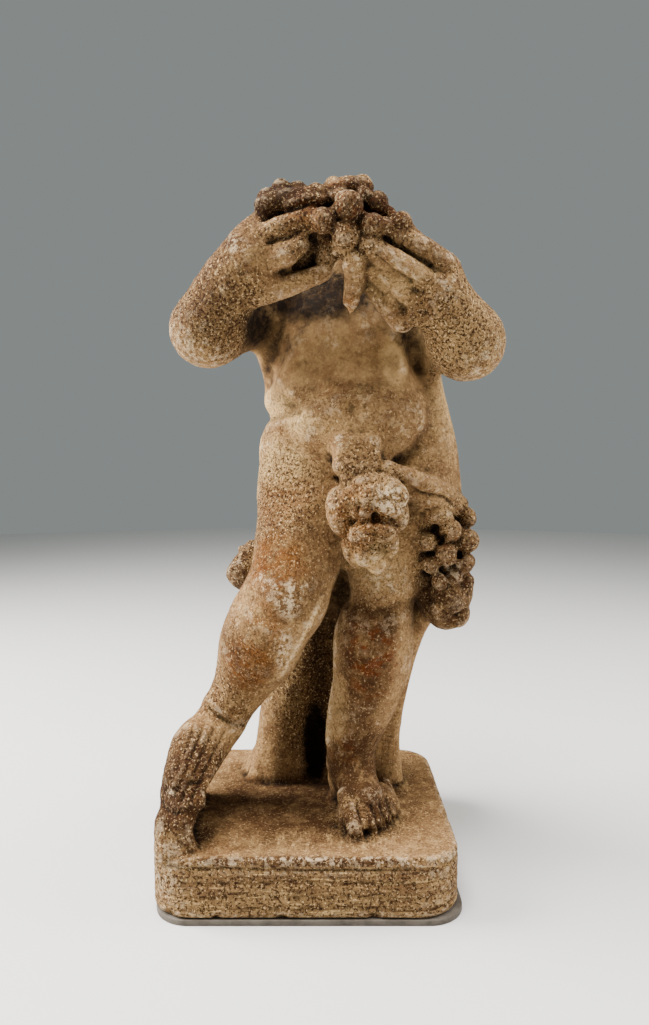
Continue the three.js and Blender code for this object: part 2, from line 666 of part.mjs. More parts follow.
// The plinth's block, standing on z = 0, with softened top and bottom edges.
function plinthGeometry() {
  const outline = roundedOutline(
    PLINTH_WIDTH - 2 * PLINTH_EDGE, PLINTH_DEPTH - 2 * PLINTH_EDGE, PLINTH_CORNER - PLINTH_EDGE,
  );
  const block = new THREE.ExtrudeGeometry(outline, {
    depth: PLINTH_HEIGHT - 2 * PLINTH_EDGE,
    bevelSize: PLINTH_EDGE,
    bevelThickness: PLINTH_EDGE,
    bevelSegments: EDGE_STEPS,
    curveSegments: CORNER_STEPS,
  });
  return block.translate(0, 0, PLINTH_EDGE);
}

function sheetGeometry() {
  const outline = roundedOutline(SHEET_WIDTH, SHEET_DEPTH, SHEET_CORNER);
  return new THREE.ExtrudeGeometry(outline, {
    depth: SHEET_THICKNESS,
    bevelEnabled: false,
    curveSegments: CORNER_STEPS,
  });
}

// A closed geometry as a solid that can be joined.
function solidOf(wasm, geometry) {
  const bare = geometry.clone();
  bare.deleteAttribute("normal");
  bare.deleteAttribute("uv");
  const merged = mergeVertices(bare, WELD);
  return new wasm.Manifold(new wasm.Mesh({
    numProp: 3,
    vertProperties: Float32Array.from(merged.attributes.position.array),
    triVerts: Uint32Array.from(merged.index.array),
  }));
}

function geometryOf(solid) {
  const mesh = solid.getMesh();
  return new THREE.BufferGeometry()
    .setAttribute("position", new THREE.BufferAttribute(mesh.vertProperties, 3))
    .setIndex(new THREE.BufferAttribute(mesh.triVerts, 1));
}

// The figure's cast, standing on z = 0, at its real size.
function figureGeometry() {
  const { points, faces } = new Thinner(figureClay().surface()).thinTo(TRIANGLES);
  return new THREE.BufferGeometry()
    .setAttribute("position", new THREE.BufferAttribute(Float32Array.from(points), 3))
    .setIndex(faces)
    .scale(UNIT, UNIT, UNIT);
}

// The largest body of a solid: specks that the sampling left are dropped.
function mainBody(solid) {
  return solid.decompose().sort((a, b) => b.volume() - a.volume())[0];
}

const wasm = await Module();
wasm.setup();

const figure = mainBody(solidOf(wasm, figureGeometry().translate(0, 0, PLINTH_HEIGHT)));
const block = solidOf(wasm, plinthGeometry());

const putto = new THREE.Mesh(geometryOf(figure.add(block)), STONE);
putto.name = "putto";
putto.position.z = SHEET_THICKNESS;

const sheet = new THREE.Mesh(sheetGeometry(), SLATE);
sheet.name = "plinth_sheet";
sheet.position.x = SHEET_SHIFT;

const statue = new THREE.Group();
statue.add(putto, sheet);
export default statue;
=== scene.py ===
"""Looks of a headless stone putto on its own plinth, on a thin grey sheet.

The statue's copy of the cast solid is smoothed, its hands, fruit, vine, toes and bark are carved
anew on it, it is weathered, and it is dressed in stained, pitted, lichened stone.
Sizes in the tables are millimetres, and heights there are taken from the plinth's top.
"""
import logging
import math
from dataclasses import dataclass, field
from enum import Enum

import bpy
import numpy as np
from mathutils import Euler, Matrix, Vector
from mathutils.bvhtree import BVHTree


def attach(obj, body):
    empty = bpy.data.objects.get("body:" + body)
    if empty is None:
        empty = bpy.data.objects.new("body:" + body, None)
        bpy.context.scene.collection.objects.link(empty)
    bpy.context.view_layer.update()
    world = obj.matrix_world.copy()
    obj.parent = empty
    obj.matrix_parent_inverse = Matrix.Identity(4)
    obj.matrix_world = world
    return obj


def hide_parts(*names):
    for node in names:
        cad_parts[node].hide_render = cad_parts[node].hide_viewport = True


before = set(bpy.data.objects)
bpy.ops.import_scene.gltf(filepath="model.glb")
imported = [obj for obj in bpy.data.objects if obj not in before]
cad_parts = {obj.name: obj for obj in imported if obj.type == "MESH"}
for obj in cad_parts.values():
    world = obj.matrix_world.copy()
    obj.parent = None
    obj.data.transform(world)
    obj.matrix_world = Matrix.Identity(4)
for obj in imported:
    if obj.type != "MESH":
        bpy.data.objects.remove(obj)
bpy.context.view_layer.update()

LOG = logging.getLogger("putto")

MM = 0.001
SHEET_THICKNESS = 5.0
PLINTH_HEIGHT = 53.0
PLINTH_TOP = SHEET_THICKNESS + PLINTH_HEIGHT

CAMERA = (0.0164, -0.731, 0.389)

Piece = bpy.types.Object
Socket = bpy.types.NodeSocket
Place = tuple[float, float, float]
Spot = tuple[Place, Place, float]
Station = tuple[float, float, float, float]
Line = tuple[tuple[float, float], ...]
Colour = tuple[float, float, float]


class Side(Enum):
    """The side of the figure that a chisel works on: the least and greatest y, in mm."""

    FRONT = (-200.0, 16.0)
    BACK = (18.0, 160.0)


# Tools of the bench.


def at(x: float, y: float, z: float) -> Vector:
    """Turns a place in mm, its height taken from the plinth's top, into metres in the row frame."""
    return Vector((x * MM, y * MM, (z + PLINTH_TOP) * MM))


def pick(*pieces: Piece) -> Piece:
    """Selects pieces and nothing else, and makes the first one active.

    Args:
        pieces: The pieces to select.

    Returns:
        The first piece.
    """
    bpy.ops.object.select_all(action="DESELECT")
    for piece in pieces:
        piece.select_set(True)
    bpy.context.view_layer.objects.active = pieces[0]
    return pieces[0]


def finish_with(piece: Piece, kind: str, **settings: object) -> None:
    """Adds one modifier to a piece and applies it.

    Args:
        piece: The piece to work on.
        kind: The modifier's type.
        settings: Values for the modifier's own properties.
    """
    pick(piece)
    modifier = piece.modifiers.new(kind.title(), kind)
    for name, value in settings.items():
        setattr(modifier, name, value)
    bpy.ops.object.modifier_apply(modifier=modifier.name)


def settle(piece: Piece) -> Piece:
    """Writes a piece's place, turn and scale into its mesh."""
    pick(piece)
    bpy.ops.object.transform_apply(location=True, rotation=True, scale=True)
    return piece


def lump(centre: Place, radii: Place, turn: Place = (0, 0, 0), fine: int = 4) -> Piece:
    """Makes an egg-shaped lump.

    Args:
        centre: Its middle, in mm.
        radii: Its three radii, in mm.
        turn: Its turn about X, Y and Z, in degrees.
        fine: How often its faces are split.

    Returns:
        The lump.
    """
    bpy.ops.object.select_all(action="DESELECT")
    bpy.ops.mesh.primitive_ico_sphere_add(subdivisions=fine, radius=1.0, location=at(*centre))
    piece = bpy.context.object
    spin = Matrix.Rotation(math.radians(turn[0]), 4, "X")
    spin = spin @ Matrix.Rotation(math.radians(turn[1]), 4, "Y")
    spin = spin @ Matrix.Rotation(math.radians(turn[2]), 4, "Z")
    piece.rotation_euler = spin.to_euler()
    piece.scale = [radius * MM for radius in radii]
    return settle(piece)


def ball(x: float, y: float, z: float, radius: float) -> Piece:
    """Makes a ball, such as a berry, at a place in mm."""
    return lump((x, y, z), (radius, radius, radius), fine=3)


def slab(centre: Place, half: Place, round_off: float, turn: Place = (0, 0, 0)) -> Piece:
    """Makes a block with rounded edges.

    Args:
        centre: Its middle, in mm.
        half: Its three half sizes, in mm.
        round_off: The radius of its edges, in mm.
        turn: Its turn about X, Y and Z, in degrees.

    Returns:
        The block.
    """
    bpy.ops.object.select_all(action="DESELECT")
    bpy.ops.mesh.primitive_cube_add(size=2.0, location=at(*centre))
    piece = bpy.context.object
    piece.rotation_euler = Euler([math.radians(angle) for angle in turn])
    piece.scale = [size * MM for size in half]
    settle(piece)
    finish_with(piece, "BEVEL", width=round_off * MM, segments=4, limit_method="NONE")
    return piece


def bevel_edges(piece: Piece, radius: float, steps: int, least: float, most: float) -> None:
    """Rounds those edges of a piece that rise by a certain height from one end to the other.

    Args:
        piece: The piece to round.
        radius: The rounding's radius, in mm.
        steps: How many faces it has.
        least: The least rise, in metres.
        most: The greatest rise, in metres.
    """
    pick(piece)
    bpy.ops.object.mode_set(mode="EDIT")
    bpy.ops.mesh.select_mode(type="EDGE")
    bpy.ops.mesh.select_all(action="DESELECT")
    bpy.ops.object.mode_set(mode="OBJECT")
    mesh = piece.data
    for edge in mesh.edges:
        first, last = (mesh.vertices[corner].co for corner in edge.vertices)
        edge.select = least <= abs(first.z - last.z) <= most
    bpy.ops.object.mode_set(mode="EDIT")
    bpy.ops.mesh.bevel(offset=radius * MM, segments=steps, affect="EDGES")
    bpy.ops.object.mode_set(mode="OBJECT")


def roll(*stations: Station) -> list[Piece]:
    """Makes a finger, stem or fold: a round roll through stations, with round ends.

    Args:
        stations: The places that it passes and its radius there, in mm.

    Returns:
        The roll and its two ends.
    """
    bpy.ops.object.select_all(action="DESELECT")
    bpy.ops.curve.primitive_bezier_curve_add(location=(0, 0, 0))
    piece = bpy.context.object
    curve = piece.data
    curve.splines.clear()
    spline = curve.splines.new("BEZIER")
    spline.bezier_points.add(len(stations) - 1)
    for point, (x, y, z, radius) in zip(spline.bezier_points, stations):
        point.co = at(x, y, z)
        point.radius = radius * MM
        point.handle_left_type = point.handle_right_type = "AUTO"
    curve.bevel_depth = 1.0
    curve.bevel_resolution = 5
    curve.resolution_u = 8
    curve.use_fill_caps = True
    pick(piece)
    bpy.ops.object.convert(target="MESH")
    piece = bpy.context.object
    return [piece, ball(*stations[0]), ball(*stations[-1])]


def join(pieces: list[Piece], name: str) -> Piece:
    """Joins pieces into one mesh.

    Args:
        pieces: The pieces, the first of which takes up the others.
        name: The joined piece's name.

    Returns:
        The joined piece.
    """
    piece = pick(*pieces)
    bpy.ops.object.join()
    piece.name = name
    piece.data.name = name
    return piece


def points_of(piece: Piece) -> tuple[np.ndarray, np.ndarray]:
    """Reads a mesh's vertices and their normals.

    Args:
        piece: The piece to read.

    Returns:
        The vertices in mm with heights from the plinth's top, and the unit normals.
    """
    mesh = piece.data
    places = np.empty(len(mesh.vertices) * 3, np.float32)
    mesh.vertices.foreach_get("co", places)
    normals = np.empty(len(mesh.vertices) * 3, np.float32)
    mesh.vertices.foreach_get("normal", normals)
    places = places.reshape(-1, 3).astype(float) / MM
    places[:, 2] -= PLINTH_TOP
    return places, normals.reshape(-1, 3).astype(float)


def put_points(piece: Piece, places: np.ndarray) -> None:
    """Writes a mesh's vertices back.

    Args:
        piece: The piece to change.
        places: Its vertices in mm, heights from the plinth's top.
    """
    moved = places.copy()
    moved[:, 2] += PLINTH_TOP
    piece.data.vertices.foreach_set("co", (moved * MM).astype(np.float32).ravel())
    piece.data.update()


def smooth_step(value: np.ndarray) -> np.ndarray:
    """Eases a share from 0 to 1 in at both ends."""
    share = np.clip(value, 0.0, 1.0)
    return share * share * (3.0 - 2.0 * share)


def patch(places: np.ndarray, centre: Place, radii: Place, soft: float = 0.35) -> np.ndarray:
    """Weighs points by a soft-edged egg-shaped patch.

    Args:
        places: The points, in mm.
        centre: The patch's middle, in mm.
        radii: Its three radii, in mm.
        soft: How much of the radius its edge takes to fade.

    Returns:
        A weight from 0 to 1 for each point.
    """
    far = np.linalg.norm((places - np.array(centre)) / np.array(radii), axis=1)
    return smooth_step((1.0 - far) / soft)


def spots(places: np.ndarray, patches: tuple[Spot, ...], ground: float) -> np.ndarray:
    """Weighs points by several soft patches over an even ground.

    Args:
        places: The points, in mm.
        patches: For each, its middle and radii in mm, and its weight.
        ground: The weight elsewhere.

    Returns:
        The weights.
    """
    weights = np.full(len(places), ground)
    for centre, radii, weight in patches:
        weights = np.maximum(weights, weight * patch(places, centre, radii, 0.6))
    return weights


def line_distance(places: np.ndarray, line: Line) -> np.ndarray:
    """Measures how far points are, in the front view, from a line through places [x, z].

    Args:
        places: The points, in mm.
        line: The line's stations.

    Returns:
        The distances in mm.
    """
    nearest = np.full(len(places), np.inf)
    for (ax, az), (bx, bz) in zip(line, line[1:]):
        dx, dz = bx - ax, bz - az
        share = ((places[:, 0] - ax) * dx + (places[:, 2] - az) * dz) / (dx * dx + dz * dz)
        share = np.clip(share, 0.0, 1.0)
        away = np.hypot(places[:, 0] - ax - share * dx, places[:, 2] - az - share * dz)
        nearest = np.minimum(nearest, away)
    return nearest


@dataclass(frozen=True)
class Stroke:
    """One stroke of the chisel, seen from the front: a groove, or a ridge where its depth is below 0."""

    width: float
    depth: float
    line: Line
    side: Side = Side.FRONT
    reach: tuple[float, float] | None = None


def chisel(piece: Piece, strokes: tuple[Stroke, ...]) -> None:
    """Works strokes into a piece, along its normals.

    Args:
        piece: The piece to carve.
        strokes: The strokes, one after the other.
    """
    places, normals = points_of(piece)
    moved = places.copy()
    for stroke in strokes:
        low, high = stroke.reach or stroke.side.value
        facing = normals[:, 1] if stroke.side is Side.BACK else -normals[:, 1]
        weight = np.exp(-((line_distance(places, stroke.line) / stroke.width) ** 2))
        weight *= smooth_step((places[:, 1] - low) / 12.0) * smooth_step((high - places[:, 1]) / 12.0)
        weight *= smooth_step((facing + 0.25) / 0.6)
        moved -= normals * (stroke.depth * weight)[:, None]
    put_points(piece, moved)


# Finishes.


class Nodes:
    """A material's node tree, built step by step."""

    def __init__(self, name: str) -> None:
        """Starts a material that holds one principled shader.

        Args:
            name: The material's name.
        """
        self.material = bpy.data.materials.new(name)
        self.material.use_nodes = True
        self.tree = self.material.node_tree
        self.shader = self.tree.nodes["Principled BSDF"]
        self.colour: object = (1.0, 1.0, 1.0)

    def add(
        self, kind: str, inputs: dict[str | int, object] | None = None, **settings: object,
    ) -> bpy.types.Node:
        """Adds a node.

        Args:
            kind: The node's type.
            inputs: Values, or sockets to link, for its inputs by name or number.
            settings: Values for the node's own properties.

        Returns:
            The node.
        """
        node = self.tree.nodes.new(kind)
        for name, value in settings.items():
            setattr(node, name, value)
        for name, value in (inputs or {}).items():
            if isinstance(value, Socket):
                self.tree.links.new(value, node.inputs[name])
            else:
                node.inputs[name].default_value = value
        return node

    def where(self) -> Socket:
        """Gives the Object coordinates."""
        return self.add("ShaderNodeTexCoord").outputs["Object"]

    def mark(self, name: str) -> Socket:
        """Gives one of the piece's own attributes."""
        return self.add("ShaderNodeAttribute", attribute_name=name).outputs["Fac"]

    def grain(
        self, scale: float, detail: float = 4.0, rough: float = 0.6, stretch: Place = (1, 1, 1),
    ) -> Socket:
        """Gives noise in the stone.

        Args:
            scale: Its features to the metre.
            detail: How many finer layers it has.
            rough: How strong the finer layers are.
            stretch: How much each axis is drawn together.

        Returns:
            The noise, from 0 to 1.
        """
        spot = self.add("ShaderNodeMapping", {"Vector": self.where(), "Scale": stretch}).outputs[0]
        wanted = {"Vector": spot, "Scale": scale, "Detail": detail, "Roughness": rough}
        return self.add("ShaderNodeTexNoise", wanted).outputs["Fac"]

    def pits(self, scale: float, jitter: float = 1.0) -> Socket:
        """Gives the distance to scattered points, for pits and spots of a size."""
        wanted = {"Vector": self.where(), "Scale": scale, "Randomness": jitter}
        return self.add("ShaderNodeTexVoronoi", wanted).outputs["Distance"]

    def ramp(
        self, value: Socket, low: float, high: float, to_low: float = 0.0, to_high: float = 1.0,
    ) -> Socket:
        """Stretches a range of a value to another range, eased and clamped.

        Args:
            value: The value.
            low: Where the range starts.
            high: Where it ends.
            to_low: What its start becomes.
            to_high: What its end becomes.

        Returns:
            The stretched value.
        """
        wanted = {"Value": value, "From Min": low, "From Max": high, "To Min": to_low, "To Max": to_high}
        return self.add("ShaderNodeMapRange", wanted, interpolation_type="SMOOTHSTEP").outputs[0]

    def sum(self, operation: str, *values: object) -> Socket:
        """Works one sum on two or three values."""
        return self.add("ShaderNodeMath", dict(enumerate(values)), operation=operation).outputs[0]

    def times(self, first: object, *others: object) -> object:
        """Multiplies values."""
        for other in others:
            first = self.sum("MULTIPLY", first, other)
        return first

    def coat(self, colour: Colour, *shares: object) -> None:
        """Lays a colour over the colour so far, by the product of some shares."""
        self.colour = self.blend(self.times(*shares), self.colour, colour)

    def blend(self, share: object, under: object, over: object) -> Socket:
        """Lays one colour over another.

        Args:
            share: How much of the upper colour shows.
            under: The lower colour, or its socket.
            over: The upper colour, or its socket.

        Returns:
            The mixed colour.
        """
        node = self.add("ShaderNodeMix", data_type="RGBA")
        for socket, value in zip((node.inputs[0], node.inputs[6], node.inputs[7]), (share, under, over)):
            if isinstance(value, Socket):
                self.tree.links.new(value, socket)
            else:
                socket.default_value = value if isinstance(value, float) else (*value, 1.0)
        return node.outputs[2]

    def set(self, **inputs: object) -> None:
        """Sets or links the shader's inputs, whose names are written with underscores for spaces."""
        for name, value in inputs.items():
            socket = self.shader.inputs[name.replace("_", " ")]
            if isinstance(value, Socket):
                self.tree.links.new(value, socket)
            else:
                socket.default_value = value


def tone(red: int, green: int, blue: int) -> Colour:
    """Turns a colour as it shows, 0 to 255, into the light values that shaders use."""
    shares = (red / 255.0, green / 255.0, blue / 255.0)
    return tuple(share / 12.92 if share <= 0.04045 else ((share + 0.055) / 1.055) ** 2.4 for share in shares)


@dataclass(frozen=True)
class StoneFinish:
    """Pale reconstituted stone after years outside: stained, pitted, with lichen and chalky wear, and with
    painted shade and painted highlights laid into its colour.
    """

    body: Colour = tone(147, 112, 74)
    pale: Colour = tone(224, 185, 124)
    tan: Colour = tone(116, 82, 51)
    honey: Colour = tone(134, 80, 28)
    brown: Colour = tone(58, 34, 14)
    speck: Colour = tone(50, 25, 8)
    spark: Colour = tone(240, 204, 150)
    # near-black: painted shade, with some soot, for hollows and sheltered places
    shade_and_grime: Colour = tone(14, 7, 2)
    olive: Colour = tone(66, 50, 24)
    rust: Colour = tone(92, 44, 12)
    chalk: Colour = tone(236, 208, 168)

    def make(self) -> bpy.types.Material:
        """Builds the material.

        Returns:
            The material.
        """
        mix = Nodes("weathered_stone")
        hollow, worn, shade_and_grime, pitted, layered, smeared = map(
            mix.mark, ("hollow", "worn", "shade_and_grime", "pitted", "layered", "smeared"),
        )
        rusty, crusty, chalky, bleach_and_highlight, moss_and_shade, stained = map(
            mix.mark, ("rusty", "crusty", "chalky", "bleach_and_highlight", "moss_and_shade", "stained"),
        )

        # broad and middling clouds of stain, and washed places, with painted highlights on the left flank's
        # facet and the hip rims
        mix.colour = self.body
        mix.coat(self.tan, mix.ramp(mix.grain(16.0, 5.0, 0.62), 0.36, 0.64))
        mix.coat(self.pale, mix.ramp(mix.grain(90.0, 6.0, 0.72), 0.4, 0.68), 0.4)
        mix.coat(self.pale, bleach_and_highlight, mix.ramp(mix.grain(40.0, 5.0, 0.7), 0.3, 0.6, 0.45, 1.0))

        # honey-coloured lichen, moss film, brown stain and rust-coloured crust, each in ragged patches; on
        # the chest under the arms the olive and the brown are painted shade
        mix.coat(self.honey, rusty, mix.ramp(mix.grain(48.0, 6.0, 0.75), 0.34, 0.6), 0.75)
        mix.coat(self.olive, moss_and_shade, mix.ramp(mix.grain(30.0, 5.0, 0.65), 0.2, 0.55, 0.5, 1.0))
        ragged = mix.ramp(mix.grain(52.0, 6.0, 0.75), 0.32, 0.68, 0.4, 1.4)
        mix.coat(self.brown, mix.sum("MINIMUM", mix.times(stained, ragged), 0.92))
        mix.coat(self.rust, crusty, mix.ramp(mix.grain(80.0, 6.0, 0.7, (1.0, 1.0, 1.25)), 0.5, 0.55))

        # horizontal layers of the casting on the plinth's sides, and smears of wash on its top
        layer = mix.grain(250.0, 5.0, 0.7, (0.1, 0.1, 1.0))
        mix.coat(self.brown, layered, mix.ramp(layer, 0.46, 0.36), 0.85)
        mix.coat(self.pale, layered, mix.ramp(layer, 0.54, 0.64), 0.7)
        smear = mix.ramp(mix.grain(130.0, 5.0, 0.75, (1.0, 0.16, 1.0)), 0.5, 0.66)
        mix.coat(self.pale, smear, smeared, 0.75)

        # fine speckle: brown pits, and pale grains of the aggregate, dulled where it is stained
        mix.coat(self.brown, mix.ramp(mix.grain(150.0, 5.0, 0.7), 0.5, 0.64, 0.0, 0.3))
        amount = mix.ramp(pitted, 0.04, 0.5, 0.14, 1.0)
        coarse = mix.grain(430.0, 3.0, 0.75)
        specks = mix.ramp(mix.sum("MULTIPLY_ADD", pitted, 0.06, coarse), 0.53, 0.62)
        dark = mix.times(specks, amount, 0.92)
        mix.coat(self.speck, dark)
        second = mix.grain(450.0, 3.0, 0.75, (1.0, 1.12, 0.9))
        bright = mix.ramp(mix.sum("MULTIPLY_ADD", pitted, 0.02, second), 0.58, 0.67)
        mix.coat(self.spark, bright, amount, mix.ramp(stained, 0.3, 1.0, 0.85, 0.5))

        # chalky wear on what stands out
        rubbed = mix.sum("MAXIMUM", chalky, mix.times(worn, 0.6))
        mix.coat(self.chalk, rubbed, mix.ramp(mix.grain(170.0, 6.0, 0.78), 0.49, 0.55))

        # near-black painted shade, with some dirt, in hollows, folds and sheltered places
        uneven = mix.ramp(mix.grain(150.0, 4.0, 0.7), 0.2, 0.8, 0.6, 1.2)
        shade_and_dirt = mix.times(mix.sum("MAXIMUM", hollow, shade_and_grime), uneven)
        mix.coat(self.shade_and_grime, mix.sum("MINIMUM", shade_and_dirt, 0.97))

        # relief finer than the mesh
        holes = mix.ramp(mix.pits(210.0), 0.06, 0.36)
        some = mix.ramp(mix.grain(70.0, 3.0), 0.46, 0.58)
        deep = mix.times(mix.sum("SUBTRACT", 1.0, holes), some)
        sand = mix.times(mix.grain(300.0, 6.0, 0.82), amount, 1.1)
        height = mix.sum("SUBTRACT", sand, mix.times(deep, amount, 0.8))
        height = mix.sum("SUBTRACT", height, mix.times(dark, 0.45))
        height = mix.sum("ADD", height, mix.times(layered, layer, 1.2))
        bump = mix.add("ShaderNodeBump", {"Height": height, "Strength": 1.0, "Distance": 0.0026})

        mix.set(Base_Color=mix.colour, Normal=bump.outputs[0])
        mix.set(Roughness=mix.ramp(mix.grain(90.0), 0.3, 0.7, 0.84, 0.98))
        mix.set(Specular_IOR_Level=0.1)
        return mix.material


@dataclass(frozen=True)
class SheetFinish:
    """Thin grey sheet, slightly stained."""

    grey: Colour = tone(98, 90, 80)
    dark: Colour = tone(64, 56, 48)

    def make(self) -> bpy.types.Material:
        """Builds the material.

        Returns:
            The material.
        """
        mix = Nodes("grey_sheet")
        stain = mix.ramp(mix.grain(40.0, 5.0, 0.65), 0.35, 0.7)
        fine = mix.grain(500.0, 3.0, 0.7)
        bump = mix.add("ShaderNodeBump", {"Height": fine, "Strength": 0.5, "Distance": 0.0005})
        mix.set(Base_Color=mix.blend(stain, self.grey, self.dark), Normal=bump.outputs[0])
        mix.set(Roughness=mix.ramp(fine, 0.3, 0.7, 0.65, 0.85), Specular_IOR_Level=0.3)
        return mix.material


def dress(piece: Piece, material: bpy.types.Material) -> None:
    """Gives a piece its one material."""
    piece.data.materials.clear()
    piece.data.materials.append(material)


# The cast statue.


# Where the stone is pitted, darkened by painted shade and some soot, darkened by painted shade along its
# folds, less darkened in its hollows, and less worn, as soft patches or lines.
ROUGH: tuple[Spot, ...] = (
    ((-70, -50, 480), (84, 100, 84), 0.85), ((124, -56, 466), (80, 100, 84), 0.85),
    ((30, -104, 536), (110, 60, 56), 0.9), ((54, -84, 300), (66, 60, 90), 0.55),
    ((138, -20, 246), (62, 90, 96), 0.8), ((-108, -86, 44), (62, 70, 74), 1.0),
    ((8, 60, 110), (94, 80, 170), 0.7), ((-60, 32, 228), (50, 60, 56), 0.8),
    ((36, 8, 560), (64, 64, 44), 0.9), ((50, -60, 8), (70, 70, 40), 0.5),
    ((-20, -20, 300), (80, 90, 90), 0.5), ((-76, -36, 120), (50, 50, 70), 0.5),
    ((-120, -112, -14), (40, 40, 36), 1.0),
)
# Spots of near-black painted shade, with some soot: in the recess between the stump and the standing leg,
# between the legs, under the hands, in the left armpit and in the gap behind the hands.
SHADE_AND_GRIME: tuple[Spot, ...] = (
    ((7, 34, 40), (18, 42, 62), 1.5), ((30, -10, 222), (12, 50, 26), 0.9),
    ((10, 30, 140), (18, 30, 80), 0.6), ((98, -56, 292), (10, 30, 16), 0.6),
    ((0, -78, 504), (20, 14, 14), 0.95), ((10, -38, 490), (98, 50, 40), 1.0),
    ((-22, -100, 558), (44, 44, 22), 0.25), ((44, -106, 542), (60, 40, 36), 0.22),
    ((-46, -50, 462), (26, 48, 36), 1.0), ((34, -60, 476), (16, 34, 8), 0.6),
)
# Lines of painted shade along the folds (left armpit, above the flank's facet, the right side, the waist,
# under the ribs): width, strength, and stations [x, z] seen from the front.
FOLDS: tuple[tuple[float, float, Line], ...] = (
    (7.0, 0.8, ((-22, 462), (-33, 438), (-41, 424))), (5.0, 0.4, ((-41, 424), (-27, 399), (-9, 386))),
    (4.5, 0.5, ((101, 452), (103, 430), (108, 412), (115, 392), (113, 370), (100, 352))),
    (3.0, 0.45, ((-62, 376), (-36, 377), (-12, 381))), (4.0, 0.3, ((18, 410), (50, 402), (78, 408))),
)
FAINTER_HOLLOWS: tuple[Spot, ...] = (((60, -44, 430), (84, 60, 56), 0.6), ((56, -84, 290), (50, 50, 56), 0.4))
LESS_WORN: tuple[Spot, ...] = (
    ((30, -104, 540), (110, 60, 50), 1.0), ((138, -20, 240), (60, 80, 90), 1.0),
    ((-108, -86, 50), (60, 70, 60), 1.0), ((54, -84, 296), (50, 50, 60), 0.6),
    ((60, -60, 10), (50, 60, 30), 0.9), ((-46, -70, 170), (44, 60, 50), 0.85),
    ((60, -50, 150), (44, 60, 70), 0.85), ((0, 0, -24), (220, 220, 34), 0.8),
)
